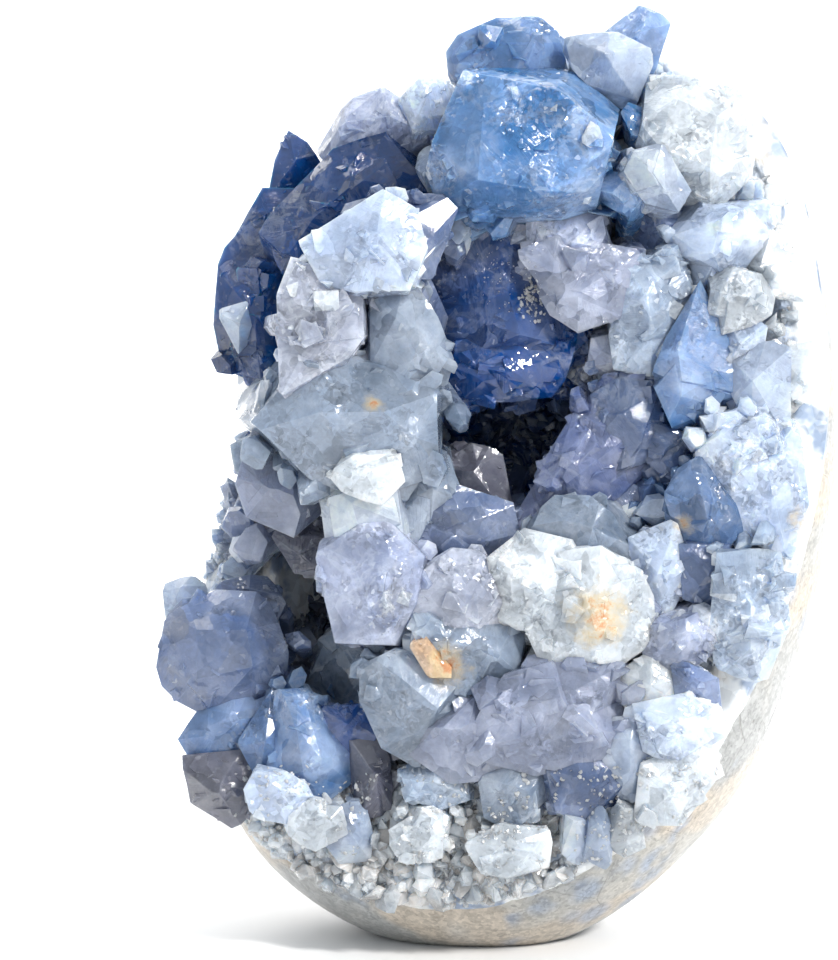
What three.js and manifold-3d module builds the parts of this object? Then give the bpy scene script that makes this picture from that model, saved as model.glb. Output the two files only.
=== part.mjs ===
// A celestite geode: a polished egg of rock, open at the front and upper left, with a crust of crystals in
// its hollow. Millimetres, +Z up. The opening faces -Y. The origin is on the flat base.
import * as THREE from "three";
import { ConvexGeometry } from "three/addons/geometries/ConvexGeometry.js";
import { mergeVertices } from "three/addons/utils/BufferGeometryUtils.js";
import Module from "manifold-3d";

// The egg. Its outline is seen from the front: one radius every 30 degrees from +X, about a centre above the
// base.
const EGG_CENTRE_X = 2;
const EGG_CENTRE_Z = 74;
const EGG_RADII = [52, 58, 71, 66, 59, 51, 48, 58, 74, 77, 65, 54];
const EGG_HALF_DEPTH = 42;
const OUTSIDE_STEPS = 44; // round the outline; half as many run from front to back
const INSIDE_STEPS = 26;

// The rind, and the sloping cut that opens it.
const RIND = 8;
const CUT_DEPTH = -8; // where the cut crosses the middle of the stone
const CUT_SLOPE_RIGHT = -0.18; // the cut comes forward to the right
const CUT_SLOPE_UP = 0.25; // and goes back towards the top
const SCOOP = 20; // on the left it runs back this much further
const SCOOP_LEFT = 45;
const SCOOP_Z = 80;
const SCOOP_HALF_HEIGHT = 40;
const CUT_RIPPLE = 1.1;
const CUT_STEPS = 14;

// The bed that the crystals grow from stands a little in front of the cut.
const SEAM = 0.3; // between the rind and the crust
const BED_STAND = 3;
const BED_INSET = 0.8;
const BED_RIPPLE = 1.8;
const BED_STEPS = 15;

// Crystals are drawn on the mid plane as an eye in front of the opening sees them, and carried to their
// depth.
const EYE = new THREE.Vector3(-12, -500, 108);
const ROOT_TAPER = 0.72;
const ROOT_DEPTH = 7; // how far a root runs on behind the face of the bed

// Hollows in the crust: centre and half sizes.
const HOLLOWS = [
  { name: "middle", at: [4, -10, 79], half: [15, 30, 12] },
  { name: "left", at: [-29, -6, 54], half: [14, 30, 18] },
];

// The crystals grow in clusters, each spreading from a heart inside the bed. Each crystal has the outline of
// its widest section, [right, up] pairs; the points of its crown, [right, up, rise]; and how far its widest
// section stands out from the mid plane.
const CLUSTERS = [
  { name: "blue_crown", heart: [12, 30, 114], crystals: [
    { name: "crown_dome", out: 9, crown: [[0, 143, 4], [6, 142, 4]],
      rim: [[-7, 141], [-4, 145], [1, 147], [6, 147.4], [12, 141], [7, 136], [-4.5, 135]] },
    { name: "great_blue", out: 19,
      crown: [[-2, 133, 5], [11, 136, 6], [19, 127, 7], [9, 119, 8], [-3, 121, 7]],
      rim: [[-4.5, 136.5], [12, 141], [25, 128], [20, 121],
        [9.6, 115.4], [-1.4, 117], [-7, 117], [-12.2, 129]] },
    { name: "blue_tip", out: 8, crown: [[22, 144, 3]],
      rim: [[16.5, 144], [23, 149.5], [27, 145.4], [25, 139], [18, 138]] },
    { name: "pale_ice_top", out: 14, crown: [[17, 141, 3]],
      rim: [[11.5, 143.2], [18.6, 144.2], [24.8, 141], [22, 134], [13, 137]] },
    { name: "big_white", out: 15, crown: [[28, 134, 5], [35, 131, 6], [34, 123, 7], [26, 126, 8]],
      rim: [[20, 134.5], [29, 139.7], [39.5, 134], [42.7, 127.5],
        [40.5, 122], [33.8, 117], [28, 120], [20.5, 127]] },
    { name: "round_white", out: 23, crown: [[25, 122, 3], [27, 119, 3]],
      rim: [[20.6, 121.3], [22, 125], [26.2, 126.2], [30.2, 119.5], [28.5, 116.6], [23, 118]] },
    { name: "striated_pale", out: 17, crown: [[36, 115, 4], [34, 108, 4]],
      rim: [[29.5, 112], [33, 116], [43, 117], [44.5, 112], [38.5, 106], [31, 101]] },
    { name: "shoulder_white", out: 15, crown: [[42, 107, 3]],
      rim: [[38.5, 107], [44, 112.5], [47.5, 109], [49, 102], [42, 103]] },
    { name: "ice_plate", out: 20, crown: [[36, 103, 2.5], [43, 102, 2]],
      rim: [[33.8, 103.5], [38, 106.5], [43, 105], [46, 101.5], [40, 97.5], [34.5, 96]] },
    { name: "ice_block", out: 20, crown: [[39, 95, 2]],
      rim: [[35.5, 96.5], [43.5, 98.5], [42.5, 94.5], [40.5, 92.8], [36.5, 91.5]] },
  ] },
  { name: "indigo_and_prisms", heart: [12, 30, 104], crystals: [
    { name: "deep_indigo", out: 11, crown: [[-5, 101, 4], [3, 103, 6], [4, 96, 7], [10, 94, 5]],
      rim: [[-10.6, 102], [-7, 112], [-1.5, 118], [5, 118], [9.5, 100],
        [14.6, 96.3], [8.3, 86], [-4.6, 87.4], [-7, 92]] },
    { name: "indigo_foot", out: 6, crown: [[1, 88, 3]],
      rim: [[-8, 92], [6, 92], [5, 85.5], [-3, 82.5], [-8, 85]] },
    { name: "lavender_prism", out: 15, crown: [[12, 111, 4], [18, 110, 3]],
      rim: [[6, 115], [18.6, 118], [22, 109.8], [11.5, 106], [6, 108.8]] },
    { name: "violet_prism", out: 11, crown: [[27, 114, 4]],
      rim: [[20, 119], [34, 116], [31, 109], [24, 108]] },
    { name: "grey_wedge", out: 13, crown: [[16, 103, 4]],
      rim: [[9, 108], [21.8, 109], [21, 100], [15, 97]] },
    { name: "frosted_block", out: 17, crown: [[24, 103, 4], [25, 97, 4]],
      rim: [[18.6, 97], [20.6, 107], [28.2, 109], [31, 102], [29.4, 97], [24.6, 90], [20, 90]] },
    { name: "lilac_ledge", out: 15, crown: [[20, 92, 2]],
      rim: [[14.7, 95], [24, 97], [25.6, 91], [18, 89.5], [15, 91.5]] },
  ] },
  { name: "right_wall", heart: [42, 18, 78], crystals: [
    { name: "cornflower_spear", out: 20, crown: [[29, 94, 3], [30, 87, 4]],
      rim: [[25, 90.5], [29, 97.2], [32.4, 103], [34.5, 96],
        [38, 91.5], [38, 85], [30, 83.5], [26.7, 82]] },
    { name: "clear_cheek", out: 18, crown: [[41, 89, 3]],
      rim: [[38, 92], [43.5, 96], [46.5, 93.5], [46.5, 80], [41, 80], [38, 85.5]] },
    { name: "edge_plate", out: 14, crown: [[49, 90, 1.5]],
      rim: [[46.5, 94], [50.5, 95], [50.5, 86], [48, 84], [46.5, 87]] },
    { name: "slate_face", out: 12, crown: [[20, 84, 3], [24, 80, 3]],
      rim: [[14.5, 90], [25.2, 90], [26.8, 81], [24.6, 77], [20.6, 74], [16, 79]] },
    { name: "dark_block", out: 13, crown: [[28, 77, 2]],
      rim: [[25.2, 82], [31, 80], [29, 73], [24.5, 76]] },
    { name: "clear_tooth", out: 17, crown: [[34, 73, 4], [35, 67, 4]],
      rim: [[27, 70.5], [31, 79.4], [33.4, 79.7], [40.5, 70], [41, 62.5], [38, 60], [30, 64.5]] },
    { name: "icy_band", out: 19, crown: [[38, 79, 3], [44, 74, 3]],
      rim: [[29, 82.5], [41, 84.5], [47.5, 81], [49, 70], [46, 62], [39, 68], [33, 79]] },
    { name: "slate_tooth", out: 16, crown: [[34, 58, 2]],
      rim: [[30, 62], [37, 62], [38, 54], [30.6, 53]] },
    { name: "striped_lilac", out: 20, crown: [[30, 49, 3.5]],
      rim: [[24, 51], [31, 54], [37, 47.5], [29, 41.5], [24.5, 44]] },
    { name: "right_frost", out: 19, crown: [[41, 53, 3], [41, 46, 3]],
      rim: [[36, 60], [45, 61], [46.5, 50], [42.5, 40], [36, 42], [35, 50]] },
  ] },
  { name: "navy_flank", heart: [-18, 30, 100], crystals: [
    { name: "lavender_knobs", out: 8, crown: [[-25, 130, 3], [-17, 131, 3]],
      rim: [[-29.4, 130], [-24, 133], [-18.2, 135], [-15, 133], [-11, 128], [-20, 123], [-27, 124]] },
    { name: "rim_knobs", out: 10, crown: [[-11, 134, 2]],
      rim: [[-15, 134], [-12.5, 136.5], [-7, 136.5], [-6, 130], [-13, 129]] },
    { name: "dark_shard", out: 2, crown: [[-32, 124, 2]],
      rim: [[-33, 128.2], [-28, 125], [-30, 119], [-36, 118.5], [-35, 124]] },
    { name: "navy_ridge", out: 10, crown: [[-22, 121, 5], [-29, 115, 5], [-34, 108, 4]],
      rim: [[-29, 121.5], [-26, 124.5], [-12.5, 129], [-9, 118], [-16, 112],
        [-28, 102], [-36, 101], [-38.5, 109], [-35, 115]] },
    { name: "navy_flank", out: 4, crown: [[-39, 108, 5], [-38, 97, 6], [-37, 86, 5]],
      rim: [[-37, 118.5], [-43.5, 109], [-44.4, 98], [-43, 91], [-39, 81.5], [-32, 82], [-32, 112]] },
    { name: "flank_glint", out: 8, crown: [[-41, 98, 2.5]],
      rim: [[-44.4, 100], [-39.4, 101.5], [-37.5, 97.6], [-41, 93.5]] },
  ] },
  { name: "white_blocks", heart: [-26, 30, 96], crystals: [
    { name: "crumbled_white", out: 24, crown: [[-24, 110, 2], [-16, 114, 3], [-14, 108, 3]],
      rim: [[-31, 109.5], [-23, 114.7], [-17.8, 118.4], [-13.5, 118.7],
        [-7.6, 115], [-10, 107], [-12, 101], [-22, 101]] },
    { name: "milky_face", out: 25, crown: [[-27, 101, 2], [-27, 95, 1.5]],
      rim: [[-32.5, 108], [-24, 106], [-21.5, 102], [-22, 91], [-28, 90], [-34, 87], [-34, 102]] },
    { name: "ice_blue_glass", out: 26, crown: [[-17, 99, 3], [-12, 94, 4]],
      rim: [[-22.5, 101], [-13.3, 106], [-11, 101], [-7, 92], [-8.5, 86], [-17, 85], [-22, 92]] },
    { name: "clear_block", out: 25, crown: [[-28, 84, 4], [-18, 84, 5], [-13, 80, 4], [-22, 77, 3]],
      rim: [[-38.5, 80], [-34, 85], [-28, 91.4], [-17, 88], [-7, 87.5],
        [-9, 78], [-10.6, 75], [-20, 72], [-27, 71.5], [-33.5, 74.5]] },
    { name: "white_lens", out: 30, crown: [[-21, 74.5, 2]],
      rim: [[-26.2, 74.2], [-22.2, 77.4], [-16.3, 78], [-15.5, 73], [-18.6, 69.8], [-23.5, 71]] },
    { name: "layered_grey", out: 17, crown: [[-36, 72, 3], [-31, 70, 3]],
      rim: [[-41, 73], [-38.4, 77], [-27, 75], [-26, 63], [-32.2, 64.5], [-39.2, 67.5]] },
    { name: "smoke_chip", out: 9, crown: [[-31, 61, 2]],
      rim: [[-35.5, 64.5], [-26, 64], [-27, 57.5], [-32, 58.5]] },
  ] },
  { name: "lavender_shields", heart: [-6, 24, 50], crystals: [
    { name: "icy_stem", out: 26, crown: [[-24, 69, 2]],
      rim: [[-27.7, 72.5], [-17, 72], [-16, 65], [-22, 62], [-27, 63.5]] },
    { name: "lavender_shield", out: 27, crown: [[-23, 60, 3], [-17, 58, 4], [-20, 53, 4]],
      rim: [[-28, 62.2], [-22.7, 67.5], [-18, 65.5], [-12.8, 60.3],
        [-14, 54], [-16.8, 48.3], [-25, 48.6], [-26.3, 54]] },
    { name: "fractured_clear", out: 21, crown: [[-11, 72, 3]],
      rim: [[-17, 78], [-9, 77], [-6, 70], [-11, 62], [-17, 65]] },
    { name: "blue_lavender", out: 21, crown: [[-5, 66, 4], [-1, 63, 3]],
      rim: [[-12.3, 69], [-7, 71.5], [2, 68.5], [4, 64], [-2, 59], [-10.5, 60]] },
    { name: "smoky_fin", out: 13, crown: [[-4, 75, 3]],
      rim: [[-9, 76.5], [-4.3, 79], [0.2, 76.5], [2, 67], [-7, 69]] },
    { name: "pink_shield", out: 26, crown: [[-5, 55, 3.5]],
      rim: [[-12, 58], [-7, 61], [-2, 60.5], [2, 53], [-5, 47.5], [-13, 51]] },
    { name: "clear_grey_wedge", out: 26, crown: [[-7, 47, 3], [1, 45, 3]],
      rim: [[-14.5, 53.5], [-5.5, 50], [6.5, 47], [5, 42], [-4.3, 38.5], [-9, 40], [-14.5, 46]] },
    { name: "peach_flake", out: 29, crown: [[-10.5, 44.5, 1]],
      rim: [[-14, 47], [-11.5, 47.8], [-7.6, 43], [-7.8, 40.2], [-10.6, 41.5]] },
    { name: "knobbly_clear", out: 26, crown: [[-15, 41, 3], [-9, 36, 4], [-13, 32, 3]],
      rim: [[-20.5, 44.6], [-16, 46.4], [-7.8, 41.5], [-1.5, 38.5],
        [-7, 30.5], [-12.3, 28], [-17.5, 31], [-20.5, 37.4]] },
  ] },
  { name: "stained_middle", heart: [20, 20, 54], crystals: [
    { name: "violet_spear", out: 17, crown: [[11, 73, 4], [18, 81, 4]],
      rim: [[3.4, 67], [6.6, 72.5], [13.3, 79.5], [16.3, 87.5], [23, 89],
        [24, 74], [17.5, 69], [10, 66], [4, 63.5]] },
    { name: "clear_dome", out: 23, crown: [[11, 66, 3], [17, 65, 4]],
      rim: [[4.3, 64], [10, 69.6], [17.8, 70], [22.5, 65], [23, 58], [14.6, 57], [7, 60.5]] },
    { name: "green_white", out: 27, crown: [[5, 59, 3], [8, 54, 4]],
      rim: [[0, 60], [4.3, 64], [11, 62.4], [13.5, 57], [8, 48], [1.5, 52]] },
    { name: "stained_white", out: 28, crown: [[14, 56, 3], [16, 49, 5]],
      rim: [[10, 61], [17, 61.5], [23.5, 57], [24, 48], [17.8, 43.5], [8.8, 44.5], [6.5, 49.5]] },
    { name: "right_of_stain", out: 23, crown: [[26, 58, 3]],
      rim: [[22, 63], [29, 66], [31, 58], [27, 51], [22, 53]] },
  ] },
  { name: "lilac_foot", heart: [8, 10, 32], crystals: [
    { name: "lilac_mass", out: 29, crown: [[3, 37, 3], [11, 38, 4], [15, 33, 4], [4, 31.5, 3]],
      rim: [[-4, 36.5], [2.4, 41.5], [10.6, 44], [20, 43],
        [21.5, 35.2], [17, 28.5], [6.6, 27], [-4.6, 30]] },
    { name: "blue_steps", out: 27, crown: [[-6, 33, 3], [-2, 30, 3]],
      rim: [[-12, 35], [-5, 38.5], [3, 33], [2, 26], [-7, 25], [-12.5, 29]] },
  ] },
  { name: "lower_right", heart: [28, 10, 34], crystals: [
    { name: "white_knob", out: 26, crown: [[25, 40, 3]],
      rim: [[20.5, 42], [25, 45], [29.5, 41], [29, 37.5], [22.7, 35], [20.5, 38]] },
    { name: "slate_lilac", out: 22, crown: [[32, 40, 2]],
      rim: [[28.5, 44.5], [35.5, 41], [36, 36], [29.5, 37]] },
    { name: "pale_blue_white", out: 24, crown: [[29, 34, 3]],
      rim: [[23, 36.5], [30, 38], [36, 36], [36.5, 32], [29, 27.5], [25, 27.5]] },
    { name: "clear_leaf", out: 29, crown: [[22, 31, 3], [22.5, 25, 2.5]],
      rim: [[16.4, 30.2], [19.4, 35], [22.7, 35.8], [27.6, 28.2], [25, 24], [22, 21], [19, 22.5]] },
    { name: "low_right_frost", out: 24, crown: [[29, 23, 3]],
      rim: [[24, 27], [34, 31], [36, 26], [30, 18], [23, 18]] },
  ] },
  { name: "blue_blocks", heart: [-38, 24, 27], crystals: [
    { name: "slate_blue_block", out: 13,
      crown: [[-48, 49, 5], [-40, 49, 6], [-39, 43, 6], [-48, 41, 5]],
      rim: [[-50, 54], [-39, 53.5], [-34, 50], [-33, 46.5], [-34.5, 41.5],
        [-40, 38], [-48, 35.5], [-52.6, 37], [-54.2, 44], [-53, 51]] },
    { name: "pale_corner", out: 7, crown: [[-50.5, 56, 1.5]],
      rim: [[-53.3, 57.3], [-49.3, 58], [-46.5, 56], [-46, 52], [-52.6, 51]] },
    { name: "violet_notch", out: 6, crown: [[-40, 56, 2]],
      rim: [[-44, 56.5], [-37, 58.5], [-34, 54], [-36, 50], [-45, 51]] },
    { name: "blue_grey_slab", out: 14, crown: [[-45, 32, 3], [-41, 35, 3]],
      rim: [[-50, 31.5], [-47, 36], [-40.6, 39], [-35, 41.5],
        [-34, 38], [-38, 30], [-41, 26.5], [-47, 26.5]] },
    { name: "cornflower_point", out: 19, crown: [[-32, 33, 4], [-28, 28, 5], [-31, 26, 4]],
      rim: [[-34.5, 40], [-31.4, 40.2], [-28, 34.5], [-23.5, 29.5], [-24, 25], [-29, 21], [-36, 26]] },
    { name: "cornflower_twin", out: 17, crown: [[-37, 31, 4]],
      rim: [[-41.6, 30], [-36, 38.4], [-33, 36], [-32, 26], [-38, 25]] },
    { name: "clear_round", out: 21, crown: [[-35, 23, 3]],
      rim: [[-40, 24], [-37, 27.5], [-30, 26], [-29, 21.5], [-35, 19]] },
    { name: "smoky_brown", out: 9, crown: [[-45, 23, 4]],
      rim: [[-50, 28], [-41, 29], [-38, 22], [-39.5, 15.5], [-48.5, 20.5]] },
    { name: "deep_blue_chip", out: 11, crown: [[-23, 33, 2]],
      rim: [[-28, 36], [-20, 36.5], [-18, 31], [-23, 27], [-28, 30]] },
    { name: "grey_back_block", out: 7, crown: [[-23, 43, 3]],
      rim: [[-29.5, 40], [-26, 48], [-18, 49], [-17, 36], [-26, 34]] },
    { name: "grey_stripe", out: 18, crown: [[-19, 23, 3]],
      rim: [[-24, 30], [-16.5, 29], [-15.5, 16], [-22.5, 16]] },
  ] },
];

// Rows of small frosted crystals where the crust meets the rind: from one place to another, with their size.
const FROST_ROWS = [
  { name: "lower_left", from: [-38, 16, 19], to: [-20, 11, 24], count: 6, size: 6 },
  { name: "lower_left_upper", from: [-28, 19, 22], to: [-18, 15, 26], count: 3, size: 6.5 },
  { name: "lower_middle", from: [-18, 12, 26], to: [12, 10.5, 27], count: 8, size: 6.5 },
  { name: "lower_middle_upper", from: [-14, 20, 28], to: [5, 20, 29], count: 6, size: 7 },
  { name: "lower_right", from: [13, 12, 26], to: [33, 20, 20], count: 6, size: 6 },
  { name: "lower_points", from: [9, 16, 29], to: [17, 18, 29], count: 3, size: 6 },
  { name: "right_lower", from: [36, 27, 26], to: [44.5, 44, 24], count: 5, size: 5.5 },
  { name: "right_middle", from: [46, 52, 23], to: [47.5, 84, 16.5], count: 6, size: 5.5 },
  { name: "right_upper", from: [48, 96, 13], to: [43.5, 123, 6], count: 5, size: 5.5 },
  { name: "top_left", from: [-34, 122, 2], to: [-14, 133, 5], count: 5, size: 5 },
  { name: "middle_back", from: [-5, 82, -14], to: [13, 78, -14], count: 3, size: 7 },
  { name: "left_back", from: [-36, 60, -17], to: [-22, 46, -17], count: 4, size: 7 },
];
const FROST_SPREAD = 0.45; // how far a frosted crystal strays from its row, as a share of its size

const wasm = await Module();
wasm.setup();

function toSolid(geometry) {
  const bare = geometry.clone();
  bare.deleteAttribute("normal");
  bare.deleteAttribute("uv");
  const merged = mergeVertices(bare, 1e-4);
  return new wasm.Manifold(
    new wasm.Mesh({
      numProp: 3,
      vertProperties: merged.attributes.position.array,
      triVerts: new Uint32Array(merged.index.array),
    }),
  );
}

function toGeometry(solid) {
  const mesh = solid.getMesh();
  const geometry = new THREE.BufferGeometry();
  geometry.setAttribute("position", new THREE.BufferAttribute(mesh.vertProperties, 3));
  geometry.setIndex(new THREE.BufferAttribute(mesh.triVerts, 1));
  geometry.computeVertexNormals();
  return geometry;
}

// Moves every vertex of a geometry to where the given function sends it.
function reshape(geometry, send) {
  const positions = geometry.attributes.position;
  const point = new THREE.Vector3();
  for (let i = 0; i < positions.count; i += 1) {
    send(point.fromBufferAttribute(positions, i));
    positions.setXYZ(i, point.x, point.y, point.z);
  }
  return geometry;
}

// A repeatable stream of numbers from 0 to 1.
function numberStream(seed) {
  let state = seed;
  return () => {
    state = (state * 16807) % 2147483647;
    return state / 2147483647;
  };
}

const outline = new THREE.CatmullRomCurve3(
  EGG_RADII.map((radius, step) => {
    const angle = (step / EGG_RADII.length) * 2 * Math.PI;
    return new THREE.Vector3(radius * Math.cos(angle), 0, radius * Math.sin(angle));
  }),
  true,
);

// The egg's own surface, or a smaller one that lies the inset inside it.
function makeEgg(inset, steps) {
  const geometry = new THREE.SphereGeometry(1, steps, steps / 2);
  return toSolid(
    reshape(geometry, (point) => {
      const around = Math.atan2(point.z, point.x) / (2 * Math.PI);
      const width = Math.hypot(point.x, point.z);
      const edge = outline.getPoint((around + 1) % 1);
      edge.multiplyScalar(width * (1 - inset / edge.length()));
      point.y *= EGG_HALF_DEPTH - inset;
      point.x = EGG_CENTRE_X + edge.x;
      point.z = EGG_CENTRE_Z + edge.z;
    }),
  );
}

function cutDepth(x, z) {
  const leftness = THREE.MathUtils.clamp(-x / SCOOP_LEFT, 0, 1);
  const scoop = SCOOP * leftness * Math.exp(-(((z - SCOOP_Z) / SCOOP_HALF_HEIGHT) ** 2));
  return CUT_DEPTH + CUT_SLOPE_RIGHT * x + CUT_SLOPE_UP * (z - EGG_CENTRE_Z) + scoop;
}

function ripple(x, z) {
  return (Math.sin(0.31 * x + 0.9) * Math.sin(0.27 * z) + Math.sin(0.83 * x - 0.61 * z)) / 2;
}

// All the space in front of the sloping cut, moved forward by the given amount.
function makeFrontSpace(forward, waviness, steps) {
  const geometry = new THREE.BoxGeometry(140, 400, 180, steps, 1, steps);
  return toSolid(
    reshape(geometry, (point) => {
      const isCutFace = point.y > 0;
      point.z += EGG_CENTRE_Z;
      if (!isCutFace) return;
      point.y = cutDepth(point.x, point.z) - forward + waviness * ripple(point.x, point.z);
    }),
  );
}

function makeGround() {
  const size = 400;
  return toSolid(new THREE.BoxGeometry(size, size, size).translate(0, 0, -size / 2));
}

function makeEllipsoid({ at, half }) {
  const geometry = new THREE.SphereGeometry(1, 14, 10);
  return toSolid(geometry.scale(...half).translate(...at));
}

function sighted(x, z, out) {
  const nearer = (-EYE.y - out) / -EYE.y;
  return new THREE.Vector3(EYE.x + (x - EYE.x) * nearer, -out, EYE.z + (z - EYE.z) * nearer);
}

// One crystal: its crown, its widest section, and a narrower root towards the nucleus.
function makeCrystal({ rim, crown, out }, heart) {
  const section = rim.map(([x, z]) => sighted(x, z, out));
  const middle = new THREE.Vector3();
  for (const point of section) middle.addScaledVector(point, 1 / section.length);
  const footDepth = cutDepth(middle.x, middle.z) - BED_STAND + ROOT_DEPTH;
  const inward = new THREE.Vector3(...heart).sub(middle);
  inward.multiplyScalar((footDepth - middle.y) / inward.y);
  const shrink = (point) => point.clone().sub(middle).multiplyScalar(ROOT_TAPER).add(middle);
  const foot = section.map((point) => shrink(point).add(inward));
  const tips = crown.map(([x, z, rise]) => sighted(x, z, out + rise));
  return toSolid(new ConvexGeometry([...section, ...foot, ...tips]));
}

// A small block with a sloping top, turned any way.
function makeFrostCrystal(at, size, random) {
  const geometry = new THREE.BoxGeometry(size, size * 1.7, size * 0.8);
  reshape(geometry, (point) => {
    if (point.y < 0) point.multiply(new THREE.Vector3(0.45, 1, 0.5));
  });
  geometry.rotateX((random() - 0.5) * 1.6).rotateZ((random() - 0.5) * 1.8).rotateY(random() * 3);
  return toSolid(geometry.translate(at.x, at.y, at.z));
}

function makeFrostRow({ from, to, count, size }, random) {
  const crystals = [];
  for (let step = 0; step < count; step += 1) {
    const share = (step + 0.5) / count;
    const [x, z, out] = from.map((start, axis) => start + (to[axis] - start) * share);
    const stray = () => (random() - 0.5) * 2 * FROST_SPREAD * size;
    const at = sighted(x + stray(), z + stray(), out);
    crystals.push(makeFrostCrystal(at, size * (0.75 + 0.5 * random()), random));
  }
  return crystals;
}

function makeShell() {
  return makeEgg(0, OUTSIDE_STEPS)
    .subtract(makeEgg(RIND, INSIDE_STEPS))
    .subtract(makeFrontSpace(0, CUT_RIPPLE, CUT_STEPS))
    .subtract(makeGround());
}

// Everything grows from the bed, and nothing of it reaches into the rind.
function makeCrust() {
  let bed = makeEgg(BED_INSET, INSIDE_STEPS).subtract(makeFrontSpace(BED_STAND, BED_RIPPLE, BED_STEPS));
  for (const hollow of HOLLOWS) bed = bed.subtract(makeEllipsoid(hollow));
  const random = numberStream(113);
  const frost = FROST_ROWS.flatMap((row) => makeFrostRow(row, random));
  let grown = bed;
  const large = CLUSTERS.flatMap(({ heart, crystals }) => crystals.map((row) => makeCrystal(row, heart)));
  for (const crystal of [...large, ...frost]) grown = grown.add(crystal);
  const room = makeEgg(RIND + SEAM, INSIDE_STEPS).add(makeFrontSpace(SEAM, CUT_RIPPLE, CUT_STEPS));
  return grown.intersect(room);
}

function makeMesh(name, solid, color, roughness) {
  const mesh = new THREE.Mesh(
    toGeometry(solid),
    new THREE.MeshStandardMaterial({ color, roughness, metalness: 0, flatShading: true }),
  );
  mesh.name = name;
  return mesh;
}

const geode = new THREE.Group();
geode.add(makeMesh("rock_shell", makeShell(), 0xc9c6bd, 0.3));
geode.add(makeMesh("crystal_crust", makeCrust(), 0x8fa6cf, 0.15));

export default geode;
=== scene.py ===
import collections
import functools
import math
import random

import bmesh
import bpy
from mathutils import Matrix, Vector, noise


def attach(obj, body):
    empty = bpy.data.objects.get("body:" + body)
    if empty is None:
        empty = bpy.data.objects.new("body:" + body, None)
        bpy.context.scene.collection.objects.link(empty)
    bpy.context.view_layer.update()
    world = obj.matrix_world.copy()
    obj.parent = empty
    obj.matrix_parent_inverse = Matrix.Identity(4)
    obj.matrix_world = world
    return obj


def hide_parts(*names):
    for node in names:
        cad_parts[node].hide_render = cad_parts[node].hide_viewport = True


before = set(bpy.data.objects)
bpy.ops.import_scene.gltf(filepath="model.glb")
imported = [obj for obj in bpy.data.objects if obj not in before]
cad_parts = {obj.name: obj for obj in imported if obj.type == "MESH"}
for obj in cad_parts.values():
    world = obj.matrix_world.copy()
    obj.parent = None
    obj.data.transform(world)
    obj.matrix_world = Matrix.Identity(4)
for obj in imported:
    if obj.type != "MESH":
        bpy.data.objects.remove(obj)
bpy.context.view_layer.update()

bl_info = {
    "name": "Celestite geode",
    "version": (1, 0, 0),
    "blender": (4, 5, 0),
    "location": "View3D > Sidebar > Geode",
    "description": "Grows a cut and polished celestite geode piece by piece",
    "category": "Add Mesh",
}

MM = 0.001  # shapes are worked out in millimetres and stored in metres

# The polished outside and its cut, as the solids have them.
EGG_CENTRE_X = 2
EGG_CENTRE_Z = 74
EGG_RADII = (52, 58, 71, 66, 59, 51, 48, 58, 74, 77, 65, 54)  # every 30 degrees from the right
EGG_HALF_DEPTH = 42
CUT_DEPTH = -8
CUT_SLOPE_RIGHT = -0.18
CUT_SLOPE_UP = 0.25
SCOOP = 20
SCOOP_LEFT = 45
SCOOP_Z = 80
SCOOP_HALF_HEIGHT = 40
BED_STAND = 3
HOLLOWS = (((4, -10, 79), (15, 30, 12)), ((-29, -6, 54), (14, 30, 18)))  # middle, half sizes

# How the crystals grow. A reach is 0 at the stone's middle and 1 at its outline.
ROOT_TAPER = 0.95
RIM_TAPER = 0.68  # by the rim, roots narrow so that they stay in the stone
RIM_TAPER_FROM = 0.78
RIM_FROM = 0.88
SPREAD = (1.27, 1.12)  # how far neighbours grow into each other, at the middle and the rim
ROOT_DEPTH = 7
STAND = 5  # the least that a large crystal's widest section stands out of the bed
# How large the low steps on a crystal's facets are, as shares of its own reach.
STEP_SIZES = {"clear": (0.16, 0.25, 0.4), "cloudy": (0.12, 0.18, 0.26, 0.4)}
FACET_ANGLE = 11  # degrees from which an edge between facets stays sharp
GAP_PITCH = 2.5
DRUSE_TRIES = 12500
CLUSTER_SEED, GAP_SEED, DRUSE_SEED = 41, 7, 19

EYE = Vector((-12, -500, 108))
EYE_TARGET = Vector((-12.3, 0, 73.1))
LENS = 117.4

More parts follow.
